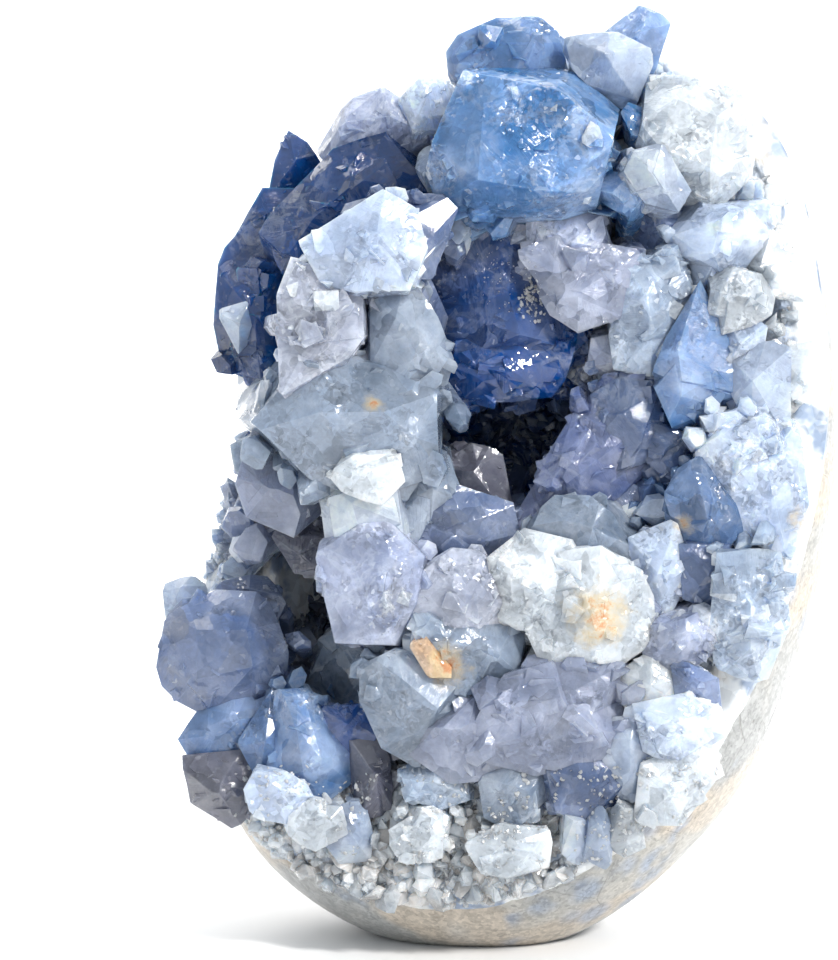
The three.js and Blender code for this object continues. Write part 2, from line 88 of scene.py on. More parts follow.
# Each crystal: name, colour, body, how far its widest section stands out, the tips of its crown
# as right, up and rise, and the corners of its widest section as right and up.
CLUSTERS = (
    ("blue_crown", (12, 30, 114), (
        ("crown_dome", "cornflower", "clear", 9, ((-1, 142, 4), (5, 142, 5), (2, 137, 6)),
         ((-8, 140), (-5.5, 143.6), (0, 146), (6, 146.3), (11, 142), (9, 135), (-6, 133.5))),
        ("great_blue", "sky", "cloudy", 19,
         ((-2, 133, 5), (11, 136, 6), (19, 127, 7), (9, 119, 8), (-3, 121, 7)),
         ((-5, 137), (11, 140), (23, 129), (20.5, 120), (9.6, 116.5), (-1.4, 116.5),
          (-7.5, 118), (-11.5, 129))),
        ("blue_tip", "cornflower", "clear", 8, ((22, 144, 3),),
         ((16.5, 144), (23, 149.5), (27, 145.4), (25, 139), (18, 138))),
        ("pale_ice_top", "ice", "clear", 14, ((17, 141, 3),),
         ((11.5, 143.2), (18.6, 144.2), (24.8, 141), (22, 134), (13, 137))),
        ("big_white", "snow", "cloudy", 15,
         ((28, 134, 5), (35, 131, 6), (34, 123, 7), (26, 126, 8)),
         ((20, 134.5), (29, 139.7), (39.5, 134), (42.7, 127.5), (40.5, 122), (33.8, 117),
          (28, 120), (20.5, 127))),
        ("round_white", "ice", "clear", 23, ((25, 122, 3), (27, 119, 3)),
         ((20.6, 121.3), (22, 125), (26.2, 126.2), (30.2, 119.5), (28.5, 116.6), (23, 118))),
        ("striated_pale", "ice", "cloudy", 17, ((36, 115, 4), (34, 108, 4)),
         ((29.5, 112), (33, 116), (43, 117), (44.5, 112), (38.5, 106), (31, 101))),
        ("shoulder_white", "snow", "cloudy", 15, ((42, 107, 3),),
         ((38.5, 107), (44, 112.5), (47.5, 109), (49, 102), (42, 103))),
        ("ice_plate", "snow", "cloudy", 20, ((36, 103, 2.5), (43, 102, 2)),
         ((33.8, 103.5), (38, 106.5), (43, 105), (46, 101.5), (40, 97.5), (34.5, 96))),
        ("ice_block", "ice", "cloudy", 20, ((39, 95, 2),),
         ((35.5, 96.5), (43.5, 98.5), (42.5, 94.5), (40.5, 92.8), (36.5, 91.5))),
    )),
    ("indigo_and_prisms", (12, 30, 104), (
        ("deep_indigo", "indigo", "clear", 11,
         ((-5, 101, 4), (2, 103, 6), (4, 96, 7), (9, 94, 5)),
         ((-10.6, 102), (-7, 112), (-2, 117), (3, 117), (7, 104), (13.6, 96.3),
          (8.3, 86.5), (-4.6, 87.8), (-7, 92))),
        ("indigo_foot", "royal", "clear", 14, ((1, 90, 3), (7, 92, 2)),
         ((-7, 94), (5, 97), (13, 95), (9, 87.5), (-3, 86), (-7, 89))),
        ("lavender_prism", "lavender", "cloudy", 15, ((12, 111, 4), (18, 110, 3)),
         ((6, 115), (18.6, 118), (22, 109.8), (11.5, 106), (6, 108.8))),
        ("violet_prism", "slate", "cloudy", 11, ((27, 114, 4),),
         ((20, 119), (34, 116), (31, 109), (24, 108))),
        ("grey_wedge", "lavender", "clear", 18, ((13, 103, 2.5), (9, 106, 2)),
         ((5, 109), (10, 111), (21.8, 109), (21, 100), (13, 97.5), (6, 102.5))),
        ("frosted_block", "glass_grey", "cloudy", 17, ((24, 103, 4), (25, 97, 4)),
         ((18.6, 97), (20.6, 107), (28.2, 109), (31, 102), (29.4, 97), (24.6, 90), (20, 90))),
        ("lilac_ledge", "lavender", "clear", 15, ((20, 92, 2),),
         ((14.7, 95), (24, 97), (25.6, 91), (18, 89.5), (15, 91.5))),
    )),
    ("right_wall", (42, 18, 78), (
        ("cornflower_spear", "cornflower", "clear", 20, ((29, 94, 3), (30, 87, 4)),
         ((25, 90.5), (29, 97.2), (32.4, 103), (34.5, 96), (38, 91.5), (38, 85),
          (30, 83.5), (26.7, 82))),
        ("clear_cheek", "ice", "clear", 18, ((41, 89, 3),),
         ((38, 92), (43.5, 96), (46.5, 93.5), (46.5, 80), (41, 80), (38, 85.5))),
        ("edge_plate", "snow", "cloudy", 14, ((49, 90, 1.5),),
         ((46.5, 94), (50.5, 95), (50.5, 86), (48, 84), (46.5, 87))),
        ("slate_face", "slate", "clear", 12, ((20, 84, 3), (24, 80, 3)),
         ((14.5, 90), (25.2, 90), (26.8, 81), (24.6, 77), (20.6, 74), (16, 79))),
        ("dark_block", "slate", "clear", 13, ((28, 77, 2),),
         ((25.2, 82), (31, 80), (29, 73), (24.5, 76))),
        ("clear_tooth", "dusk_blue", "clear", 17, ((33, 71, 4), (34, 66, 4)),
         ((27, 69), (31, 76), (33, 76), (38.5, 69), (39, 62.5), (37, 60), (30, 63.5))),
        ("icy_band", "ice", "cloudy", 21, ((36, 80, 3), (40, 79, 3), (44, 73, 3)),
         ((29, 83), (41, 85), (47.5, 81), (49, 70), (46, 62), (39, 66), (33, 77))),
        ("slate_tooth", "slate", "clear", 16, ((34, 58, 2),),
         ((30, 62), (37, 62), (38, 54), (30.6, 53))),
        ("striped_lilac", "lavender", "cloudy", 20, ((30, 49, 3.5),),
         ((24, 51), (31, 54), (37, 47.5), (29, 41.5), (24.5, 44))),
        ("right_frost", "glass_grey", "cloudy", 19, ((41, 53, 3), (41, 46, 3)),
         ((36, 60), (45, 61), (46.5, 50), (42.5, 40), (36, 42), (35, 50))),
    )),
    # This left flank's navy crystals are partly deep blue of their own and partly painted shade,
    # for the side that turns away from the sun.
    ("navy_flank", (-18, 30, 100), (
        ("lavender_knobs", "lavender", "cloudy", 8, ((-25, 130, 3), (-17, 131, 3)),
         ((-29.4, 130), (-24, 133), (-18.2, 135), (-15, 133), (-11, 128), (-20, 123),
          (-27, 124))),
        ("rim_knobs", "ice", "cloudy", 10, ((-11, 134, 2),),
         ((-15, 134), (-12.5, 136.5), (-7, 136.5), (-6, 130), (-13, 129))),
        ("dark_shard", "navy", "clear", 2, ((-32, 124, 2),),
         ((-33, 128.2), (-28, 125), (-30, 119), (-36, 118.5), (-35, 124))),
        ("navy_ridge", "navy", "clear", 10, ((-22, 121, 5), (-29, 115, 5), (-34, 108, 4)),
         ((-29, 121.5), (-26, 124.5), (-12.5, 129), (-9, 118), (-16, 112), (-28, 102),
          (-36, 101), (-38.5, 109), (-35, 115))),
        ("navy_flank", "navy", "clear", 4, ((-39, 108, 5), (-38, 97, 6), (-37, 86, 5)),
         ((-37, 118.5), (-43.5, 109), (-44.4, 98), (-43, 91), (-39, 81.5), (-32, 82),
          (-32, 112))),
        ("flank_back", "navy", "clear", 3, ((-36, 114, 2),),
         ((-41, 112), (-37, 119), (-31, 119), (-30, 110), (-37, 105))),
        ("flank_glint", "ice", "clear", 8, ((-41, 98, 2.5),),
         ((-44.4, 100), (-39.4, 101.5), (-37.5, 97.6), (-41, 93.5))),
    )),
    ("white_blocks", (-26, 30, 96), (
        ("crumbled_white", "ice", "cloudy", 28, ((-27, 108.5, 1), (-19, 112.5, 3)),
         ((-32, 110), (-22.6, 115.5), (-18, 118.5), (-14, 116), (-12, 110),
          (-13, 105), (-22, 104), (-28, 105.5))),
        ("clear_shoulder", "slate", "clear", 24, ((-14, 115, 3), (-12, 110, 4)),
         ((-20, 116), (-17, 119.5), (-10, 119), (-7, 116), (-9, 111), (-11, 105),
          (-17, 105))),
        ("milky_face", "lilac", "cloudy", 27, ((-27, 101, 2), (-27, 95, 1.5)),
         ((-32.5, 108), (-24, 106), (-21.5, 102), (-20.5, 94), (-27, 92), (-33.6, 88),
          (-34, 102))),
        ("ice_blue_glass", "glass_grey", "clear", 24, ((-16, 99, 3), (-12, 94, 4)),
         ((-19, 101), (-14, 105.5), (-11, 101), (-7.5, 93), (-8.5, 88), (-15, 87),
          (-19, 92))),
        ("clear_block", "glass_grey", "clear", 25,
         ((-28, 84, 4), (-18, 84, 5), (-13, 80, 4), (-22, 77, 3)),
         ((-38.5, 80), (-34, 85), (-28, 91.4), (-17, 88), (-7, 87.5), (-9, 78),
          (-10.6, 75), (-20, 72), (-27, 71.5), (-33.5, 74.5))),
        ("white_lens", "snow", "cloudy", 30, ((-21, 74.5, 2),),
         ((-26.2, 74.2), (-22.2, 77.4), (-16.3, 78), (-15.5, 73), (-18.6, 69.8),
          (-23.5, 71))),
        ("layered_grey", "lavender", "clear", 17, ((-36, 72, 3), (-31, 70, 3)),
         ((-41, 73), (-38.4, 77), (-27, 75), (-26, 63), (-32.2, 64.5), (-39.2, 67.5))),
        ("smoke_chip", "smoke", "clear", 9, ((-31, 61, 2),),
         ((-35.5, 64.5), (-26, 64), (-27, 57.5), (-32, 58.5))),
    )),
    ("lavender_shields", (-6, 24, 50), (
        ("icy_stem", "ice", "clear", 26, ((-24, 69, 2),),
         ((-27.7, 72.5), (-17, 72), (-16, 65), (-22, 62), (-27, 63.5))),
        ("lavender_shield", "lavender", "cloudy", 27,
         ((-23, 60, 3), (-17, 58, 4), (-20, 53, 4)),
         ((-28, 62.2), (-22.7, 67.5), (-18, 65.5), (-12.8, 60.3), (-14, 54),
          (-16.8, 48.3), (-25, 48.6), (-26.3, 54))),
        ("fractured_clear", "glass_grey", "clear", 21, ((-11, 72, 3),),
         ((-17, 78), (-9, 77), (-6, 70), (-11, 62), (-17, 65))),
        ("blue_lavender", "slate", "clear", 21, ((-5, 66, 4), (-1, 63, 3)),
         ((-12.3, 69), (-7, 71.5), (2, 68.5), (4, 64), (-2, 59), (-10.5, 60))),
        ("smoky_fin", "smoke", "clear", 13, ((-4, 75, 3),),
         ((-9, 76.5), (-4.3, 79), (0.2, 76.5), (2, 67), (-7, 69))),
        ("pink_shield", "lilac", "cloudy", 26, ((-5, 55, 3.5),),
         ((-12, 58), (-7, 61), (-2, 60.5), (2, 53), (-5, 47.5), (-13, 51))),
        ("clear_grey_wedge", "glass_grey", "clear", 26, ((-7, 47, 3), (1, 45, 3)),
         ((-14.5, 53.5), (-5.5, 50), (6.5, 47), (5, 42), (-4.3, 38.5), (-9, 40),
          (-14.5, 46))),
        ("peach_flake", "peach", "cloudy", 29, ((-10.5, 44.5, 1),),
         ((-14, 47), (-11.5, 47.8), (-7.6, 43), (-7.8, 40.2), (-10.6, 41.5))),
        ("knobbly_clear", "glass_grey", "clear", 26,
         ((-15, 41, 3), (-9, 36, 4), (-13, 32, 3)),
         ((-20.5, 44.6), (-16, 46.4), (-7.8, 41.5), (-1.5, 38.5), (-7, 30.5), (-12.3, 28),
          (-17.5, 31), (-20.5, 37.4))),
    )),
    ("stained_middle", (20, 20, 54), (
        ("violet_spear", "violet", "clear", 17, ((11, 73, 4), (18, 81, 4)),
         ((3.4, 67), (6.6, 72.5), (13.3, 79.5), (16.3, 87), (21.5, 88), (22, 75),
          (16.5, 69), (10, 66), (4, 63.5))),
        ("clear_dome", "glass_grey", "clear", 23, ((11, 66, 3), (17, 65, 4)),
         ((4.3, 64), (10, 69.6), (17.8, 70), (22.5, 65), (23, 58), (14.6, 57),
          (7, 60.5))),
        ("green_white", "snow", "cloudy", 27, ((5, 59, 3), (8, 54, 4)),
         ((0, 60), (4.3, 64), (11, 62.4), (13.5, 57), (8, 48), (1.5, 52))),
        ("stained_white", "snow", "cloudy", 28, ((14, 56, 3), (16, 49, 5)),
         ((10, 61), (17, 61.5), (23.5, 57), (24, 48), (17.8, 43.5), (8.8, 44.5),
          (6.5, 49.5))),
        ("right_of_stain", "ice", "cloudy", 23, ((26, 58, 3),),
         ((22, 63), (29, 66), (31, 58), (27, 51), (22, 53))),
    )),
    ("frosty_foot", (4, 10, 24), (
        ("grey_glass_foot", "glass_grey", "cloudy", 24, ((-10, 25, 3), (-6, 24, 2)),
         ((-15, 26), (-10, 28.5), (-4, 27), (-3, 22), (-8, 20), (-14, 22))),
        ("sparkling_foot", "glass_grey", "clear", 24, ((2, 24, 3), (6, 23, 2), (4, 19, 2)),
         ((-2, 25), (3, 28), (9, 26), (10, 20), (5, 16), (-1, 19))),
        ("slate_foot", "slate", "clear", 24, ((14, 25, 2), (18, 22, 2)),
         ((8, 26), (13, 28.5), (22, 27), (23, 20), (16, 18), (10, 20))),
        ("left_point", "ice", "clear", 26, ((13, 19, 2),),
         ((11, 13), (11.5, 19), (13, 21), (14.6, 18.5), (15, 12), (13, 11))),
        ("middle_point", "ice", "clear", 26, ((17, 18, 2.5),),
         ((14.6, 12), (15.4, 18), (17, 20.5), (18.8, 17), (18.6, 11), (16.5, 10))),
        ("right_point", "snow", "clear", 25, ((20.5, 21, 2),),
         ((18.6, 14), (19, 20), (20.5, 23.5), (23, 20), (24, 14), (21, 12.5))),
        ("white_crust", "snow", "cloudy", 22, ((-13, 17, 2), (-8, 16, 2)),
         ((-18, 17), (-14, 20), (-8, 20), (-4, 16), (-9, 12), (-15, 12))),
        ("lilac_crust", "snow", "cloudy", 22, ((1, 14, 2), (6, 13, 2)),
         ((-4, 14), (1, 17), (8, 16), (9, 11), (2, 9), (-3, 10))),
    )),
    ("lilac_foot", (8, 10, 32), (
        ("lilac_mass", "lavender", "clear", 29,
         ((3, 37, 3), (11, 38, 4), (15, 33, 4), (4, 31.5, 3)),
         ((-4, 36.5), (2.4, 41.5), (10.6, 44), (20, 43), (21.5, 35.2), (17, 28.5),
          (6.6, 27), (-4.6, 30))),
        ("blue_steps", "lavender", "clear", 27, ((-7, 34, 5), (-2, 31, 2)),
         ((-12, 35), (-5, 38.5), (3, 33), (2, 26), (-7, 25), (-12.5, 29))),
    )),
    ("lower_right", (28, 10, 34), (
        ("white_knob", "snow", "cloudy", 26, ((25, 40, 3),),
         ((20.5, 42), (25, 45), (29.5, 41), (29, 37.5), (22.7, 35), (20.5, 38))),
        ("slate_lilac", "slate", "cloudy", 22, ((32, 40, 2),),
         ((28.5, 44.5), (35.5, 41), (36, 36), (29.5, 37))),
        ("pale_blue_white", "ice", "cloudy", 24, ((29, 34, 3),),
         ((23, 36.5), (30, 38), (36, 36), (36.5, 32), (29, 27.5), (25, 27.5))),
        ("clear_leaf", "ice", "clear", 29, ((22, 31, 3), (22.5, 25, 2.5)),
         ((16.4, 30.2), (19.4, 35), (22.7, 35.8), (27.6, 28.2), (25, 24), (22, 21),
          (19, 22.5))),
        ("low_right_frost", "snow", "cloudy", 24, ((29, 23, 3),),
         ((24, 27), (34, 31), (36, 26), (30, 18), (23, 18))),
    )),
    ("blue_blocks", (-38, 24, 27), (
        ("slate_blue_block", "slate", "clear", 13,
         ((-48, 49, 5), (-40, 49, 6), (-39, 43, 6), (-48, 41, 5)),
         ((-49.5, 54.5), (-39, 54), (-34, 50), (-33, 46.5), (-34.5, 41.5), (-40, 38),
          (-46.5, 35.5), (-51.5, 37), (-53.5, 44), (-52.5, 51.5))),
        ("pale_corner", "ice", "clear", 7, ((-50.5, 56, 1.5),),
         ((-53.3, 57.3), (-49.3, 58), (-46.5, 56), (-46, 52), (-52.6, 51))),
        ("violet_notch", "slate", "clear", 6, ((-40, 56, 2),),
         ((-44, 56.5), (-37, 58.5), (-34, 54), (-36, 50), (-45, 51))),
        ("blue_grey_slab", "dusk_blue", "clear", 14, ((-45, 32, 3), (-41, 35, 3)),
         ((-50, 31.5), (-47, 36), (-40.6, 39), (-35, 41.5), (-34, 38), (-38, 30),
          (-41, 26.5), (-47, 26.5))),
        ("cornflower_point", "cornflower", "clear", 19,
         ((-32, 33, 4), (-28, 28, 5), (-31, 26, 4)),
         ((-34.5, 40), (-31.4, 40.2), (-28, 34.5), (-23.5, 29.5), (-24, 25), (-29, 21),
          (-36, 26))),
        ("cornflower_twin", "dusk_blue", "clear", 17, ((-37, 31, 4),),
         ((-41.6, 30), (-36, 38.4), (-33, 36), (-32, 26), (-38, 25))),
        ("clear_round", "ice", "cloudy", 24, ((-36, 24, 2), (-32, 22, 2)),
         ((-40, 23), (-38, 26.5), (-32, 26), (-30, 22), (-34, 18), (-39, 19))),
        ("frosted_knob", "snow", "cloudy", 24, ((-31, 18, 2), (-27, 19, 2)),
         ((-34, 19), (-31, 21.5), (-25, 21), (-24, 16), (-29, 13.5), (-33, 15))),
        ("smoky_brown", "smoke", "clear", 9, ((-45, 23, 4),),
         ((-50, 28), (-41, 29), (-38, 22), (-39.5, 15.5), (-48.5, 20.5))),
        ("deep_blue_chip", "royal", "clear", 11, ((-23, 33, 2),),
         ((-28, 36), (-20, 36.5), (-18, 31), (-23, 27), (-28, 30))),
        ("grey_back_block", "glass_grey", "clear", 7, ((-23, 43, 3),),
         ((-29.5, 40), (-26, 48), (-18, 49), (-17, 36), (-26, 34))),
        ("grey_stripe", "smoke", "clear", 18, ((-19, 25, 3),),
         ((-23, 31), (-17.5, 30), (-16.5, 20), (-21.5, 19))),
        ("pale_blue_step", "ice", "clear", 22, ((-24, 17, 2), (-22, 14, 2)),
         ((-27, 19), (-23, 21), (-20, 18), (-20.5, 12), (-25, 11.5), (-27.5, 15))),
    )),
)

# Iron stains: right, up, how far out, and the reach of the halo.
STAINS = ((16.8, 51, 32, 5), (30, 66, 25.2, 1.7), (-19.4, 85, 29, 1.5), (48, 67, 22, 2.4),
          (-8, 43, 29, 3.5))

Crystal = collections.namedtuple("Crystal", "name hue body out crown rim")
LARGE = [Crystal(*row) for _, _, rows in CLUSTERS for row in rows]

# Each finish of crystal: how see-through, frosted, milky and rough it is, how far light wanders
# in it, how widely etching and painted glints spread over its facets, and the colour and density
# that it absorbs with.
CRYSTAL_FINISHES = {
    "clear_crystal": dict(see_through=0.42, frost=0.03, milk=0.2, rough=0.04, glow=0.7,
                          etched=-0.08, absorb=((0.55, 0.72, 0.95), 12.0)),
    "cloudy_crystal": dict(see_through=0.18, frost=0.14, milk=0.22, rough=0.08, glow=0.9,
                           etched=0.0),
    "frosted_druse": dict(see_through=0.12, frost=0.25, milk=0.5, rough=0.14, glow=0.9,
                          etched=-0.05),
}

# ---------------------------------------------------------------- settings


def shade(red, green, blue):
    """A screen colour from 0 to 255, as the linear colour that shaders use."""
    parts = (value / 255 for value in (red, green, blue))
    return tuple(p / 12.92 if p <= 0.04045 else ((p + 0.055) / 1.055) ** 2.4 for p in parts)


def colour(name, description, *screen):
    return bpy.props.FloatVectorProperty(
        name=name, description=description, subtype="COLOR", size=3, min=0, max=1,
        default=shade(*screen))


def length(name, description, millimetres):
    return bpy.props.FloatProperty(
        name=name, description=description, default=millimetres * MM, min=0, precision=5,
        subtype="DISTANCE", unit="LENGTH")


def strength(name, description, default):
    return bpy.props.FloatProperty(name=name, description=description, default=default, min=0)


class GeodeSizes(bpy.types.PropertyGroup):
    rind: length("Rind", "Thickness of the polished rock shell", 8)
    bevel: length("Edge bevel", "Width of the worn edge of a large crystal", 0.14)
    chip: length("Chip", "Depth of the largest chip off a crystal's corner", 0.9)
    druse: length("Druse crystal", "Width of a full-grown small crystal", 2.6)


class CrystalColours(bpy.types.PropertyGroup):
    # Navy is partly the crystals' own deep blue and partly painted shade, for the left flank that
    # turns away from the sun.
    navy: colour("Navy", "The darkest flank", 24, 68, 130)
    indigo: colour("Indigo", "Deep blocks at the middle", 70, 94, 146)
    royal: colour("Royal", "Clean deep facets", 64, 96, 160)
    slate: colour("Slate", "Greyish blue", 120, 135, 168)
    dusk_blue: colour("Dusk blue", "Soft middle blue", 120, 144, 182)
    cornflower: colour("Cornflower", "Bright middle blue", 142, 169, 210)
    sky: colour("Sky", "Clean blue of the great crystal", 114, 146, 188)
    ice: colour("Ice", "Palest blue", 202, 214, 234)
    snow: colour("Snow", "White with a hint of blue", 214, 220, 226)
    lavender: colour("Lavender", "Pale blue with violet", 164, 172, 194)
    lilac: colour("Lilac", "Pale milky violet", 180, 185, 199)
    violet: colour("Violet", "Deeper violet blue", 120, 132, 170)
    glass_grey: colour("Clear grey", "Colourless glass", 162, 175, 193)
    smoke: colour("Smoke", "Brownish grey", 122, 123, 136)
    peach: colour("Peach", "Iron-stained flake", 200, 172, 146)


class StoneColours(bpy.types.PropertyGroup):
    cream: colour("Cream", "Warm streaks of the rind", 198, 184, 166)
    pale: colour("Pale stone", "Most of the rind", 184, 181, 174)
    grey: colour("Grey stone", "Cloudy patches of the rind", 166, 167, 166)
    glass: colour("Buried crystal", "Bluish cleavage cut through by the polish", 142, 158, 182)
    rust: colour("Rust", "Iron stain", 214, 140, 84)


class StageSettings(bpy.types.PropertyGroup):
    key: strength("Key", "Strength of the sun from the upper right", 3.3)
    fill: strength("Fill", "Strength of the white surroundings", 0.8)


def sizes(name):
    """One of the sizes, in millimetres."""
    return getattr(bpy.context.scene.geode_sizes, name) / MM


def tint(name):
    """One of the crystals' or the stone's colours."""
    crystals, stone = bpy.context.scene.crystal_colours, bpy.context.scene.stone_colours
    return tuple(getattr(crystals if hasattr(crystals, name) else stone, name))


# ---------------------------------------------------------------- the stone's own form


def clamp(value):
    return max(0, min(1, value))


def egg_radius(angle):
    """The outline's reach from its centre, smoothly through EGG_RADII."""
    place = (angle / math.tau % 1) * len(EGG_RADII)
    step = int(place)
    along = place - step
    a, b, c, d = (EGG_RADII[(step + k) % len(EGG_RADII)] for k in (-1, 0, 1, 2))
    return (2 * b + (c - a) * along + (2 * a - 5 * b + 4 * c - d) * along ** 2
            + (3 * b - a - 3 * c + d) * along ** 3) / 2


def egg_point(angle, tilt, inset=0.0):
    """A point of the egg: angle runs round the outline, tilt from the back pole to the front."""
    reach = (egg_radius(angle) - inset) * math.sin(tilt)
    return Vector((EGG_CENTRE_X + reach * math.cos(angle),
                   (EGG_HALF_DEPTH - inset) * math.cos(tilt),
                   EGG_CENTRE_Z + reach * math.sin(angle)))


def cut_depth(x, z):
    """How far back the sloping cut lies."""
    scoop = SCOOP * clamp(-x / SCOOP_LEFT) * math.exp(-(((z - SCOOP_Z) / SCOOP_HALF_HEIGHT) ** 2))
    return CUT_DEPTH + CUT_SLOPE_RIGHT * x + CUT_SLOPE_UP * (z - EGG_CENTRE_Z) + scoop


@functools.cache
def tilt_at_cut(angle, inset=0, forward=0):
    """The tilt where the egg's surface meets the cut, or a surface that far in front of it."""
    back, front = 0.15, math.pi
    for _ in range(30):
        middle = (back + front) / 2
        point = egg_point(angle, middle, inset)
        if point.y > cut_depth(point.x, point.z) - forward:
            back = middle
        else:
            front = middle
    return back


def bed_depth(x, z):
    """The face of the crust's bed, with its hollows."""
    depth = cut_depth(x, z) - BED_STAND
    for (cx, cy, cz), (hx, hy, hz) in HOLLOWS:
        away = ((x - cx) / hx) ** 2 + ((z - cz) / hz) ** 2
        if away < 1:
            depth = max(depth, min(cy + hy * math.sqrt(1 - away), depth + 30))
    return depth


def sighted(x, z, out):
    """The point that stands this far out and is seen over (x, z)."""
    nearer = (-EYE.y - out) / -EYE.y
    return Vector((EYE.x + (x - EYE.x) * nearer, -out, EYE.z + (z - EYE.z) * nearer))


def over(point):
    """Where on the middle plane a point is seen."""
    nearer = -EYE.y / (point.y - EYE.y)
    return EYE.x + (point.x - EYE.x) * nearer, EYE.z + (point.z - EYE.z) * nearer


def reach_of(x, z):
    """How far out a place lies, from 0 at the stone's middle to 1 at its outline."""
    right, up = x - EGG_CENTRE_X, z - EGG_CENTRE_Z
    return math.hypot(right, up) / egg_radius(math.atan2(up, right))


# ---------------------------------------------------------------- making pieces


def add_object(name, data):
    made = bpy.data.objects.new(name, data)
    bpy.context.scene.collection.objects.link(made)
    return made


def to_mesh(bm, name):
    """Turns a bmesh in millimetres into a mesh in metres."""
    bmesh.ops.scale(bm, vec=(MM, MM, MM), verts=bm.verts)
    mesh = bpy.data.meshes.new(name)
    bm.to_mesh(mesh)
    bm.free()
    return mesh


def settle_piece(mesh, name, finishes, sharp_from):
    """Makes a mesh a piece that rides with the stone, its edges sharp from an angle in degrees."""
    mesh.name = name
    mesh.materials.clear()
    for finish in finishes:
        mesh.materials.append(finish_of(finish))
    if sharp_from:
        mesh.shade_smooth()
        mesh.set_sharp_from_angle(angle=math.radians(sharp_from))
    else:
        mesh.shade_flat()
    piece = add_object(name, mesh)
    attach(piece, "root")
    return piece


def new_block():
    """An empty bmesh with the layers that every crystal carries."""
    bm = bmesh.new()
    bm.faces.layers.float_vector.new("tint")
    bm.faces.layers.float.new("facet")
    bm.faces.layers.float.new("cloud")
    bm.loops.layers.uv.new("grain")
    return bm


def wrap(bm, points):
    """Fills the bmesh with the closed form around the points, with flat many-sided facets."""
    for point in points:
        bm.verts.new(point)
    made = bmesh.ops.convex_hull(bm, input=bm.verts)
    spare = {v for v in made["geom_interior"] + made["geom_unused"]
             if isinstance(v, bmesh.types.BMVert)}
    bmesh.ops.delete(bm, geom=list(spare), context="VERTS")
    bmesh.ops.dissolve_limit(
        bm, angle_limit=math.radians(3), verts=bm.verts, edges=bm.edges)


def slice_off(bm, at, outward):
    """Cuts away what lies past a plane, and closes the cut."""
    bmesh.ops.bisect_plane(
        bm, geom=bm.verts[:] + bm.edges[:] + bm.faces[:], dist=1e-4,
        plane_co=at, plane_no=outward, clear_outer=True)
    rim = [edge for edge in bm.edges if edge.is_boundary]
    if rim:
        bmesh.ops.holes_fill(bm, edges=rim, sides=0)


def anywhere(draw, size):
    """A point drawn from a cube about the origin."""
    return Vector([draw.uniform(-size, size) for _ in range(3)])


def stood_along(direction, draw):
    """A turn that stands a crystal along a direction, turned at random about it."""
    stand = direction.to_track_quat("Z", "Y").to_matrix()
    return stand @ Matrix.Rotation(draw.uniform(0, 3), 3, "Z")


def chip_corners(bm, middle, count, deepest, draw):
    """Breaks small flats off the corners that face outwards."""
    for _ in range(count):
        corners = [v.co.copy() for v in bm.verts if v.co.y < middle.y + 3]
        if not corners:
            return
        corner = draw.choice(corners)
        outward = ((corner - middle).normalized() + anywhere(draw, 0.45)).normalized()
        depth = deepest * draw.uniform(0.2, 1) * min((corner - middle).length / 9, 1)
        slice_off(bm, corner - outward * depth, outward)


def roughen(bm, spacing, depth):
    """Divides long edges and lets the facets wander a little, as grown faces do."""
    bmesh.ops.triangulate(bm, faces=bm.faces[:])
    for _ in range(4):
        long = [edge for edge in bm.edges if edge.calc_length() > spacing * 1.6]
        if not long:
            break
        bmesh.ops.subdivide_edges(bm, edges=long, cuts=1)
        bmesh.ops.triangulate(bm, faces=[face for face in bm.faces if len(face.verts) > 3])
    bm.normal_update()
    for vert in bm.verts:
        at = vert.co
        swell = noise.noise(at * 0.16) + 0.5 * noise.noise(at * 0.42)
        pit = noise.noise(at * 0.9)
        vert.co = at + vert.normal * depth * (swell + 0.5 * pit)


def wear_edges(bm, width):
    """Bevels the sharp edges a little."""
    sharp = [line for line in bm.edges if line.calc_face_angle(0) > 0.4]
    if sharp:
        bmesh.ops.bevel(
            bm, geom=sharp, offset=width, offset_type="OFFSET", segments=1,
            profile=0.5, affect="EDGES", material=-1, clamp_overlap=True)


def weather(bm, spacing, depth, width):
    """Roughens a block and wears its edges, as far as it stays closed."""
    for change in (lambda b: roughen(b, spacing, depth), lambda b: wear_edges(b, width)):
        before = bm.copy()
        change(bm)
        clean_block(bm)
        if not shut(bm):
            bm.free()
            return before
        before.free()
    return bm


def number_facets(bm, draw):
    facet = bm.faces.layers.float["facet"]
    for face in bm.faces:
        face[facet] = draw.random()


def mark_crystal(bm, hue, cloud, axis):
    """Gives each facet its colour and a grain that follows the crystal."""
    layers = bm.faces.layers
    tint_layer, cloud_layer = layers.float_vector["tint"], layers.float["cloud"]
    grain = bm.loops.layers.uv["grain"]
    for face in bm.faces:
        face[tint_layer] = hue
        face[cloud_layer] = cloud
        side = face.normal.cross(axis)
        side = side.normalized() if side.length > 0.05 else Vector((1, 0, 0))
        for loop in face.loops:
            loop[grain].uv = (loop.vert.co.dot(axis) / 10, loop.vert.co.dot(side) / 10)


def shut(bm):
    return bool(bm.faces) and all(len(edge.link_faces) == 2 for edge in bm.edges)


def clean_block(bm):
    bmesh.ops.remove_doubles(bm, verts=bm.verts, dist=0.004)
    bmesh.ops.recalc_face_normals(bm, faces=bm.faces)


def close_block(bm, draw):
    """Tidies a block, wraps it again where a cut left it open, and numbers its facets."""
    clean_block(bm)
    if not shut(bm) and len(bm.verts) > 3:
        corners = [v.co.copy() for v in bm.verts]
        bm.clear()
        wrap(bm, corners)
        clean_block(bm)
    number_facets(bm, draw)


